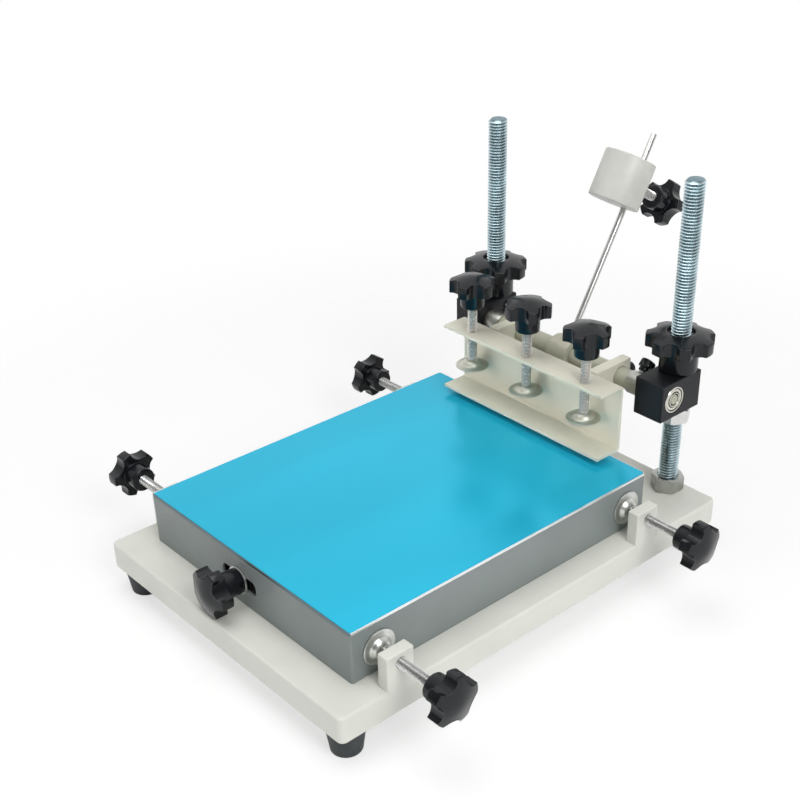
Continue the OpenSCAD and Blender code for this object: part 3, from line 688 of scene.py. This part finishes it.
clampTurn = {"left": 38, "middle": 4, "right": 37}
for place in places:
    title = place.capitalize()
    spot = spotOf("clamp_screw_" + place + "_turn")
    padSpot = (spot.x, spot.y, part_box("clamp_pad_" + place)[0][2])
    swivel = copyTo(pad, "clampPad" + title, Matrix.Translation(padSpot))
    dress(swivel, padZinc, "clamp_pad_" + place, "bright_zinc", "clamp_pad_" + place)
    low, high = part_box("clamp_stud_" + place)
    stud = screwPiece("clampStud" + title, studThread, (high[2] - low[2]) / mm)
    putAt(stud, Matrix.Translation((spot.x, spot.y, low[2])))
    dress(stud, clampZinc, "clamp_screw_" + place, "bright_zinc", "clamp_stud_" + place)
    neckSpot = (spot.x, spot.y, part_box("clamp_knob_" + place)[0][2])
    grip = copyTo(knob, "clampKnob" + title, onAxis(neckSpot, zAxis, xAxis, clampTurn[place]))
    dress(grip, knobBlack, "clamp_screw_" + place, "knob_black", "clamp_knob_" + place)
dropPiece(pad)

# front screw of the table

frontKnob = {"turn": 33, "headFrom": 12 * mm, "neckExtra": 3 * mm}
frontNut = {"thread": 4, "wall": 2.5, "tall": 6}
washerForm = {"hole": 4.1, "radius": 11, "thick": 1.6}
spot = spotOf("front_screw_turn")
low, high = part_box("front_stud")
stud = screwPiece("frontStud", studThread, (high[1] - low[1]) / mm)
putAt(stud, onAxis((spot.x, high[1], spot.z), -yAxis, xAxis))
dress(stud, studZinc, "front_screw", "bright_zinc", "front_stud")
grip = copyTo(knob, "frontKnob", Matrix.Identity(4))
for point in grip.data.vertices:
    if point.co.z > frontKnob["headFrom"]:
        point.co.z += frontKnob["neckExtra"]
putAt(grip, onAxis((spot.x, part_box("front_knob")[1][1], spot.z), -yAxis, xAxis, frontKnob["turn"]))
dress(grip, knobBlack, "front_screw", "knob_black", "front_knob")
lockNut = hexNut("frontLockNut", frontNut)
putAt(lockNut, onAxis((spot.x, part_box("front_lock_nut")[1][1], spot.z), -yAxis, xAxis))
dress(lockNut, brightZinc, "front_screw", "bright_zinc", "front_lock_nut")
low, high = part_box("front_washers")
hole, rim, thick = washerForm["hole"], washerForm["radius"], washerForm["thick"]
washer = turnedPiece("washer", [
    (hole, 0.2), (hole + 0.25, 0), (rim - 0.4, 0), (rim, 0.3), (rim, thick - 0.3), (rim - 0.4, thick),
    (hole + 0.25, thick), (hole, thick - 0.2), (hole, 0.2)], 64)
smoothFaces(washer, 35)
washers = [copyTo(washer, "washer", onAxis((spot.x, low[1] + thick * mm, spot.z), -yAxis, xAxis)),
           copyTo(washer, "washer", onAxis((spot.x, high[1], spot.z), -yAxis, xAxis))]
markPaintedShade(washers[0], lambda r, z: 0)
markPaintedShade(washers[1], lambda r, z: 1)  # the inner one gets painted shade, as it sits in the slot
dropPiece(washer)
dress(joinPieces("frontWashers", washers), brightZinc, "table_carrier", "bright_zinc", "front_washers")

# knob and stud of the weight

weightKnob = {"out": 29.5 * mm, "tip": 2.7 * mm, "inKnob": 11.8 * mm, "turn": 31}
spot = spotOf("weight_knob_turn")
knobWay = Vector(joints["weight_knob_turn"]["axis"])
studLong = (weightKnob["out"] + weightKnob["inKnob"] - weightKnob["tip"]) / mm
stud = screwPiece("weightStud", studThread, studLong)
putAt(stud, onAxis(spot + knobWay * weightKnob["tip"], knobWay, xAxis))
dress(stud, studZinc, "weight_lock", "bright_zinc", "weight_stud")
grip = copyTo(knob, "weightKnob", onAxis(spot + knobWay * weightKnob["out"], knobWay, xAxis, weightKnob["turn"]))
dress(grip, knobBlack, "weight_lock", "knob_black", "weight_knob")
dropPiece(knob)
print("knobs and screws made")


# star nuts on the rods

nutStar = {"radius": 27.5, "valley": 6, "valleyRound": 8, "lobes": 7, "soft": 0.28, "dome": 4.2, "under": 18.05,
           "keep": 15.6, "sideLow": 20.5, "sideHigh": 27.5}
starNut = turnedPiece("starNut", [
    (8.1, 0.8), (8.9, 0), (14.4, 0), (15.1, 0.25), (15.45, 0.8), (15.5, 1.5), (15.5, 17.2), (15.6, 17.75),
    (16, 18.02), (16.6, 18.08), (20, 18.1), (25.6, 18.12), (26.6, 18.3), (27.15, 18.7), (27.42, 19.2),
    (27.5, 19.8), (27.5, 24), (27.5, 27.9), (27.44, 28.25), (27.28, 28.53), (27, 28.75), (26.3, 29), (25, 29.4),
    (22.5, 30.2), (19.5, 31), (16.5, 31.7), (13.5, 32.25), (12, 32.45), (11.3, 32.3), (11, 31.8), (11, 30),
    (8.1, 30), (8.1, 0.8)], 280)
pullValleys(starNut, nutStar)
smoothFaces(starNut, 45)
starTurn = {"left": 40, "right": 34}
for side in sides:
    spot = spotOf("star_nut_" + side + "_turn")
    neckSpot = (spot.x, spot.y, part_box("star_nut_" + side)[0][2])
    grip = copyTo(starNut, "starNut" + side.capitalize(), onAxis(neckSpot, zAxis, xAxis, starTurn[side]))
    dress(grip, knobBlack, "star_nut_" + side, "knob_black", "star_nut_" + side)
dropPiece(starNut)

# hinge blocks with bearings and bosses

hingeBlock = {"edge": 0.9 * mm, "bearing": 11.05 * mm, "deep": 7 * mm, "shaft": 8.6 * mm, "shaftReach": 40 * mm,
              "rod": 8.15 * mm}
ringShade = {"top": 6.3, "fade": 0.6}  # painted shade: rings are dark below this height, in mm
shaftSpot = spotOf("arm_lift")
outerRing = turnedPiece("outerRing", [
    (9.6, 0.4), (10, 0), (10.6, 0), (11, 0.4), (11, 6.6), (10.75, 6.93), (10.4, 7), (9.85, 7), (9.65, 6.88),
    (9.55, 6.5), (9.5, 5.6), (9.05, 5.6), (8.98, 6.2), (8.8, 6.44), (8.4, 6.5), (7.2, 6.5), (6.85, 6.44),
    (6.68, 6.2), (6.62, 5.6), (6.6, 5), (9, 5), (9, 0.6), (9.6, 0.4)], 72)
innerRing = turnedPiece("innerRing", [
    (4.05, 0.4), (4.4, 0), (5.7, 0), (6, 0.3), (6, 6.5), (5.9, 6.85), (5.65, 7), (5.25, 7), (5.05, 6.85),
    (4.9, 6.4), (4.8, 5.6), (4.05, 5.5), (4.05, 0.4)], 64)
# painted shade on both rings below the given height
for ring in (outerRing, innerRing):
    markPaintedShade(ring, lambda r, z: (ringShade["top"] - z) / ringShade["fade"])
    smoothFaces(ring, 35)
boss = turnedPiece("boss", [
    (8.1, 0.4), (8.4, 0), (9, 0), (9.35, 0.15), (9.5, 0.6), (9.5, 15.5), (9.35, 15.85), (9, 16), (8.4, 16),
    (8.1, 15.6), (8.1, 0.4)], 72)
smoothFaces(boss, 35)
outerRings, innerRings, bosses = [], [], []
for side in sides:
    out = 1 if side == "right" else -1
    low, high = (Vector(p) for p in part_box("hinge_block_" + side))
    face = high.x if out > 0 else low.x
    inner = low.x if out > 0 else high.x
    block = boxPiece("hingeBlock" + side.capitalize(), low, high)
    rodSpot = spotOf("star_nut_" + side + "_turn")
    under, above = (rodSpot.x, rodSpot.y, low.z - mm), (rodSpot.x, rodSpot.y, high.z + mm)
    cutWith(block, roundPiece("bore", hingeBlock["rod"], under, above))
    start = Vector((face, shaftSpot.y, shaftSpot.z))
    seat = start - xAxis * out * hingeBlock["deep"]
    cutWith(block, roundPiece("bore", hingeBlock["bearing"], start + xAxis * out * mm, seat, 64))
    cutWith(block, roundPiece("bore", hingeBlock["shaft"], start, start - xAxis * out * hingeBlock["shaftReach"]))
    softenEdges(block, hingeBlock["edge"], 3, 50)
    flatFaces(block, 40)
    dress(block, blockBlack, "head", "block_black", "hinge_block_" + side)
    outerRings.append(copyTo(outerRing, "outerRing", onAxis(seat, xAxis * out, zAxis)))
    innerRings.append(copyTo(innerRing, "innerRing", onAxis(seat, xAxis * out, zAxis)))
    bosses.append(copyTo(boss, "boss", onAxis((inner, shaftSpot.y, shaftSpot.z), xAxis * -out, zAxis)))
for piece in (outerRing, innerRing, boss):
    dropPiece(piece)
dress(joinPieces("bearingOuterRings", outerRings), bearingSteel, "head", "bearing_steel", "bearing_outer_rings")
dress(joinPieces("bearingInnerRings", innerRings), bearingSteel, "arm_frame", "bearing_steel", "bearing_inner_rings")
dress(joinPieces("shaftBosses", bosses), bossSteel, "head", "boss_grey", "shaft_bosses")

# lock knobs on the bosses

lockStar = {"radius": 6.5, "valley": 1.45, "valleyRound": 3.25, "lobes": 5, "soft": 0.2, "dome": 1.2, "under": 3.52,
            "keep": 4.3, "sideLow": 4.8, "sideHigh": 8.8}
lockOut = {"knob": 10.5 * mm, "tip": 8.2 * mm, "long": 9.5}
lockKnob = turnedPiece("lockKnob", [
    (0, 7.3), (2.6, 7.3), (2.6, 0.3), (2.9, 0), (3.7, 0), (4.05, 0.2), (4.2, 0.6), (4.25, 1.2), (4.25, 3.1),
    (4.35, 3.42), (4.7, 3.54), (5.3, 3.56), (5.9, 3.64), (6.3, 3.95), (6.46, 4.4), (6.5, 5), (6.5, 8.4),
    (6.45, 9.1), (6.25, 9.6), (5.8, 9.98), (5, 10.3), (3.8, 10.62), (2, 10.9), (0.7, 10.99), (0, 11)], 110)
pullValleys(lockKnob, lockStar)
smoothFaces(lockKnob, 50)
for side in sides:
    joint = joints["lock_screw_" + side + "_turn"]
    spot, way = Vector(joint["pos_m"]), Vector(joint["axis"])
    stud = screwPiece("lockStud" + side.capitalize(), lockThread, lockOut["long"])
    putAt(stud, onAxis(spot + way * lockOut["tip"], way, xAxis))
    dress(stud, studZinc, "lock_screw_" + side, "bright_zinc", "lock_stud_" + side)
    grip = copyTo(lockKnob, "lockKnob" + side.capitalize(), onAxis(spot + way * lockOut["knob"], way, xAxis))
    dress(grip, knobBlack, "lock_screw_" + side, "knob_black", "lock_knob_" + side)
dropPiece(lockKnob)
print("hinge head made")


# hinge shaft, arms and hub

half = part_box("hinge_shaft")[1][0] / mm
shaft = turnedPiece("hingeShaft", bothEnds([  # stepped down for the bearings, with a centre mark in each end
    (8, half - 8.4), (7.6, half - 8), (5.75, half - 8), (5.75, half - 7), (4, half - 7), (4, half - 0.4),
    (3.6, half), (1.2, half), (0.8, half - 0.5), (0, half - 0.9)]), 72)
smoothFaces(shaft, 35)
putAt(shaft, onAxis(shaftSpot, xAxis, zAxis))
dress(shaft, shaftPaint, "arm_frame", "cream_paint", "hinge_shaft")
armBar = {"edge": 1.0 * mm, "bore": 8.04 * mm, "reach": 20 * mm}
for side in sides:
    low, high = (Vector(p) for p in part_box("arm_" + side))
    arm = boxPiece("arm" + side.capitalize(), low, high)
    mid = Vector(((low.x + high.x) / 2, shaftSpot.y, shaftSpot.z))
    reach = xAxis * armBar["reach"]
    cutWith(arm, roundPiece("bore", armBar["bore"], mid - reach, mid + reach, 64))
    softenEdges(arm, armBar["edge"], 3, 50)
    flatFaces(arm, 40)
    dress(arm, framePaint, "arm_frame", "cream_paint", "arm_" + side)
socket = {"radius": 2.9 * mm, "tall": 6 * mm, "at": 19 * mm, "edge": 0.15 * mm}
capScrew = turnedPiece("capScrew", [
    (0, 8.4), (2.9, 8.4), (3, 8.6), (3, 12.5), (4.7, 12.5), (5, 12.8), (5, 18.2), (4.8, 18.8), (4.3, 19),
    (0, 19)], 60)
clearPick()
bpy.ops.mesh.primitive_cylinder_add(
    vertices=6, radius=socket["radius"], depth=socket["tall"], location=(0, 0, socket["at"]))
bpy.ops.object.transform_apply(location=True, rotation=True, scale=True)
cutWith(capScrew, named("socket"))
softenEdges(capScrew, socket["edge"], 2, 50)
smoothFaces(capScrew, 35)
caps = []
for side in sides:
    low, high = (Vector(p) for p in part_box("arm_" + side))
    mid = ((low.x + high.x) / 2, shaftSpot.y, shaftSpot.z)
    caps.append(copyTo(capScrew, "capScrew", onAxis(mid, yAxis, xAxis)))
dropPiece(capScrew)
dress(joinPieces("armScrews", caps), screwBlack, "arm_frame", "screw_black", "arm_screws")

hubBore = {"radius": 2.54 * mm, "reach": 20 * mm}
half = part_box("shaft_hub")[1][0] / mm
ring = bothEnds([(13.5, half - 0.8), (13.3, half - 0.25), (12.7, half), (8.6, half), (8.04, half - 0.5)])
hub = turnedPiece("shaftHub", ring + ring[:1], 72)
putAt(hub, onAxis(shaftSpot, xAxis, zAxis))
rodWay = Vector(joints["weight_slide"]["axis"])
cutWith(hub, roundPiece("bore", hubBore["radius"], shaftSpot, shaftSpot + rodWay * hubBore["reach"], 32))
smoothFaces(hub, 35)
dress(hub, shaftPaint, "arm_frame", "cream_paint", "shaft_hub")

# frame channel, bent from sheet

channel = {"wall": 2.5, "bend": 3.5, "steps": 6, "hole": 4.35 * mm, "reach": 8 * mm, "edge": 0.45 * mm}
low, high = (Vector(p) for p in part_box("frame_channel"))
deep, tall = (high.y - low.y) / mm, (high.z - low.z) / mm
bend = channel["bend"]
turns = [math.pi / 2 * i / channel["steps"] for i in range(channel["steps"] + 1)]
line = [(0, 0)]
line += [(deep - bend + bend * math.sin(turn), bend - bend * math.cos(turn)) for turn in turns]
line += [(deep - bend + bend * math.cos(turn), tall - bend + bend * math.sin(turn)) for turn in turns]
line.append((0, tall))
bar = startLine("frameChannel", [(low.x, low.y + y * mm, low.z + z * mm) for y, z in line])
bpy.ops.mesh.select_all(action="SELECT")
bpy.ops.mesh.extrude_region_move(TRANSFORM_OT_translate={"value": (high.x - low.x, 0, 0)})
bpy.ops.mesh.select_all(action="SELECT")
bpy.ops.mesh.normals_make_consistent(inside=False)
bpy.ops.object.mode_set(mode="OBJECT")
backFace = max(bar.data.polygons, key=lambda face: face.center.y + face.area)
if backFace.normal.y < 0:  # faces have to point outwards before the sheet gets its wall
    bpy.ops.object.mode_set(mode="EDIT")
    bpy.ops.mesh.select_all(action="SELECT")
    bpy.ops.mesh.flip_normals()
    bpy.ops.object.mode_set(mode="OBJECT")
thicken(bar, channel["wall"] * mm)
for place in places:
    spot = spotOf("clamp_screw_" + place + "_turn")
    reach = zAxis * channel["reach"]
    cutWith(bar, roundPiece("hole", channel["hole"], spot - reach, spot + reach))
softenEdges(bar, channel["edge"], 2, 50)
flatFaces(bar, 40)
dress(bar, framePaint, "arm_frame", "cream_paint", "frame_channel")

# balance rod and its weight

balance = {"start": 8.2, "end": 190.7, "radius": 2.5}
start, end, r = balance["start"], balance["end"], balance["radius"]
stick = turnedPiece("balanceRod", [
    (0, start), (r - 0.4, start), (r, start + 0.5), (r, end - 0.6), (r - 0.2, end - 0.2), (r - 0.6, end),
    (0, end)], 40)
smoothFaces(stick, 35)
putAt(stick, onAxis(shaftSpot, rodWay, xAxis))
dress(stick, balanceSteel, "arm_frame", "bright_zinc", "balance_rod")
weightForm = {"radius": 21.75, "half": 19.5, "at": 146 * mm, "aside": -16.5 * mm}
weightBore = {"rod": 2.65 * mm, "rodReach": 40 * mm, "screw": 4.15 * mm, "screwReach": 30 * mm}
r, half = weightForm["radius"], weightForm["half"]
weight = turnedPiece("counterweight", bothEnds([
    (r, half - 1.2), (r - 0.15, half - 0.5), (r - 0.5, half - 0.15), (r - 1.2, half), (0, half)]), 112)
centre = shaftSpot + rodWay * weightForm["at"]
putAt(weight, onAxis(centre + knobWay * weightForm["aside"], rodWay, xAxis))
reach = rodWay * weightBore["rodReach"]
cutWith(weight, roundPiece("bore", weightBore["rod"], centre - reach, centre + reach, 40))
cutWith(weight, roundPiece("bore", weightBore["screw"], centre, centre + knobWay * weightBore["screwReach"], 40))
smoothFaces(weight, 35)
dress(weight, weightPaint, "weight", "cream_paint", "counterweight")
print("arm frame and weight made")


# printing table

tableBox = {"corner": 2 * mm, "edge": 0.6 * mm, "wall": 2 * mm, "plateEdge": 0.25 * mm, "filmEdge": 0.08 * mm}
frontSlot = {"long": 41 * mm, "tall": 12 * mm, "round": 5 * mm, "reach": 5 * mm}
low, high = (Vector(p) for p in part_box("table_box"))
box = boxPiece("tableBox", low, high)
pickEdges(box, lambda a, b: abs(a.z - b.z) > 0.01)
bpy.ops.mesh.bevel(offset=tableBox["corner"], segments=6, affect="EDGES")
pickFaces(box, lambda c, n: n.z < -0.9)
bpy.ops.mesh.delete(type="ONLY_FACE")
closeShell()
softenEdges(box, tableBox["edge"], 3, 50)
thicken(box, tableBox["wall"])
spot = spotOf("front_screw_turn")
slotHalf = Vector((frontSlot["long"] / 2, frontSlot["reach"], frontSlot["tall"] / 2))
slotSpot = Vector((spot.x, low.y, spot.z))
slotCut = boxPiece("slot", slotSpot - slotHalf, slotSpot + slotHalf)
pickEdges(slotCut, lambda a, b: abs(a.y - b.y) > frontSlot["reach"])
bpy.ops.mesh.bevel(offset=frontSlot["round"], segments=12, affect="EDGES")
bpy.ops.object.mode_set(mode="OBJECT")
cutWith(box, slotCut)
flatFaces(box, 40)
dress(box, greyPaint, "table", "table_grey", "table_box")


def sheetPiece(name, low, high, corner, edge):
    piece = boxPiece(name, low, high)
    pickEdges(piece, lambda a, b: abs(a.x - b.x) < mergeGap and abs(a.y - b.y) < mergeGap)
    bpy.ops.mesh.bevel(offset=corner, segments=6, affect="EDGES")
    bpy.ops.object.mode_set(mode="OBJECT")
    softenEdges(piece, edge, 2, 50)
    flatFaces(piece, 40)
    return piece


plate = sheetPiece("tablePlate", *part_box("table_plate"), tableBox["corner"], tableBox["plateEdge"])
dress(plate, plateMetal, "table", "plate_metal", "table_plate")
plateFrontShade = {"reach": 1.3 * mm, "color": (0.16, 0.21, 0.23)}  # painted shade: the front lip is coloured darker than the sides
tree = plateMetal.node_tree
surface = tree.nodes["Principled BSDF"]
spot = tree.nodes.new("ShaderNodeTexCoord")
part = tree.nodes.new("ShaderNodeSeparateXYZ")
front = tree.nodes.new("ShaderNodeMath")
front.operation = "LESS_THAN"
front.inputs[1].default_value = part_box("table_plate")[0][1] + plateFrontShade["reach"]
# the painted shade colour mixed in on the front lip
lip = tree.nodes.new("ShaderNodeMix")
lip.data_type = "RGBA"
lip.inputs["B"].default_value = (*plateFrontShade["color"], 1)
plain = surface.inputs["Base Color"].links[0].from_socket
tree.links.new(spot.outputs["Object"], part.inputs["Vector"])
tree.links.new(part.outputs["Y"], front.inputs[0])
tree.links.new(front.outputs["Value"], lip.inputs["Factor"])
tree.links.new(plain, lip.inputs["A"])
tree.links.new(lip.outputs["Result"], surface.inputs["Base Color"])
film = sheetPiece("tableFilm", *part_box("table_film"), tableBox["corner"], tableBox["filmEdge"])
dress(film, blueFilm, "table", "blue_film", "table_film")
for node in ("foot_screws", "front_bracket"):  # hidden pieces keep their solids
    solid = frame["nodes"][node]
    solid.data.materials.clear()
    solid.data.materials.append(brightZinc)
print("table made")


# floor, light and camera

floorTone = {"color": (0.95, 0.95, 0.95), "rough": 0.9, "size": 6, "under": 0.2 * mm, "lift": 0.6,
             "fadeFrom": 0.36, "fadeTo": 0.75}
clearPick()
bpy.ops.mesh.primitive_plane_add(size=floorTone["size"], location=(0, 0, -floorTone["under"]))
bpy.ops.object.transform_apply(location=True, rotation=True, scale=True)
floor = named("floor")
floorPaint, tree, surface = newFinish("floorPaint", floorTone["color"], floorTone["rough"], specular=0.0)
addNode, link = tree.nodes.new, tree.links.new
spot = addNode("ShaderNodeTexCoord")
far = addNode("ShaderNodeVectorMath")
far.operation = "LENGTH"
fade = addNode("ShaderNodeMapRange")
fade.interpolation_type = "SMOOTHSTEP"
fade.inputs["From Min"].default_value = floorTone["fadeFrom"]
fade.inputs["From Max"].default_value = floorTone["fadeTo"]
fade.inputs["To Min"].default_value = floorTone["lift"]  # share of white even under the object
ray = addNode("ShaderNodeLightPath")
seen = addNode("ShaderNodeMath")
seen.operation = "MULTIPLY"
clear = addNode("ShaderNodeBsdfTransparent")
blend = addNode("ShaderNodeMixShader")  # floor runs out into the white background
link(spot.outputs["Object"], far.inputs[0])
link(far.outputs["Value"], fade.inputs["Value"])
link(fade.outputs["Result"], seen.inputs[0])
link(ray.outputs["Is Camera Ray"], seen.inputs[1])
link(seen.outputs["Value"], blend.inputs["Fac"])
link(surface.outputs["BSDF"], blend.inputs[1])
link(clear.outputs["BSDF"], blend.inputs[2])
link(blend.outputs["Shader"], tree.nodes["Material Output"].inputs["Surface"])
floor.data.materials.append(floorPaint)

studio = {"light": 0.44, "backdrop": (-0.66, 0.7, 0.28), "from": -0.35, "to": 0.75, "dim": 0.16, "bright": 1.0}
world = bpy.data.worlds.new("studio")
bpy.context.scene.world = world
world.use_nodes = True
tree = world.node_tree
addNode, link = tree.nodes.new, tree.links.new
sky = tree.nodes["Background"]
sky.inputs["Strength"].default_value = studio["light"]
sky.inputs["Color"].default_value = (1, 1, 1, 1)
spot = addNode("ShaderNodeTexCoord")
facing = addNode("ShaderNodeVectorMath")
facing.operation = "DOT_PRODUCT"
facing.inputs[1].default_value = studio["backdrop"]
room = addNode("ShaderNodeMapRange")  # what metal sees: white backdrop behind, dim room in front
room.interpolation_type = "SMOOTHSTEP"
room.inputs["From Min"].default_value = studio["from"]
room.inputs["From Max"].default_value = studio["to"]
room.inputs["To Min"].default_value = studio["dim"]
room.inputs["To Max"].default_value = studio["bright"]
gloss = addNode("ShaderNodeBackground")
gloss.inputs["Color"].default_value = (1, 1, 1, 1)
white = addNode("ShaderNodeBackground")
white.inputs["Color"].default_value = (1, 1, 1, 1)
ray = addNode("ShaderNodeLightPath")
glossMix = addNode("ShaderNodeMixShader")
seenMix = addNode("ShaderNodeMixShader")
link(spot.outputs["Generated"], facing.inputs[0])
link(facing.outputs["Value"], room.inputs["Value"])
link(room.outputs["Result"], gloss.inputs["Strength"])
link(ray.outputs["Is Glossy Ray"], glossMix.inputs["Fac"])
link(sky.outputs["Background"], glossMix.inputs[1])
link(gloss.outputs["Background"], glossMix.inputs[2])
link(ray.outputs["Is Camera Ray"], seenMix.inputs["Fac"])
link(glossMix.outputs["Shader"], seenMix.inputs[1])
link(white.outputs["Background"], seenMix.inputs[2])
link(seenMix.outputs["Shader"], tree.nodes["World Output"].inputs["Surface"])

lampSetup = {
    "keyLamp": {"place": (1.5, -0.35, 1.25), "aim": (0, 0, 0.1), "size": (0.8, 0.9), "power": 17},
    "topLamp": {"place": (-0.1, -0.2, 1.9), "aim": (0, 0, 0.1), "size": (1.2, 1.2), "power": 13},
    "leftLamp": {"place": (-1.3, -1.2, 1.0), "aim": (0, 0, 0.1), "size": (0.5, 0.9), "power": 4.5},
    "fillLamp": {"place": (-0.35, -1.0, 0.3), "aim": (0, 0.075, 0.133), "size": (0.25, 0.06), "power": 0.036},
}
fillStrip = {"spread": 10, "color": (1, 0.85, 0.77)}  # narrow strip that lights the inside of the channel
lamps = {}
for name, look in lampSetup.items():
    clearPick()
    bpy.ops.object.light_add(type="AREA", location=look["place"])
    lamp = bpy.context.object
    lamp.name = name
    lamp.data.shape = "RECTANGLE"
    lamp.data.size, lamp.data.size_y = look["size"]
    lamp.data.energy = look["power"]
    lamp.rotation_euler = (Vector(look["aim"]) - Vector(look["place"])).to_track_quat("-Z", "Y").to_euler()
    lamps[name] = lamp
lamps["leftLamp"].visible_glossy = False  # leaves the near sides of the knobs deep black
lamps["fillLamp"].data.spread = math.radians(fillStrip["spread"])
lamps["fillLamp"].data.color = fillStrip["color"]

cameraLook = {
    "place": (0.67699, -0.63693, 0.6327), "azimuth": 46.762, "elevation": 31.848, "lens": 60.126, "sensor": 36,
    "shift": (-0.0779, 0.1081), "near": 0.01}
clearPick()
bpy.ops.object.camera_add(location=cameraLook["place"])
camera = bpy.context.object
camera.name = "photoCamera"
az, el = (math.radians(cameraLook[k]) for k in ("azimuth", "elevation"))
back = Vector((math.sin(az) * math.cos(el), -math.cos(az) * math.cos(el), math.sin(el)))
camera.rotation_euler = (-back).to_track_quat("-Z", "Y").to_euler()
camera.data.sensor_width = cameraLook["sensor"]
camera.data.lens = cameraLook["lens"]
camera.data.shift_x, camera.data.shift_y = cameraLook["shift"]
camera.data.clip_start = cameraLook["near"]
bpy.context.scene.camera = camera
bpy.context.scene.view_settings.view_transform = "Standard"
print("stage set")
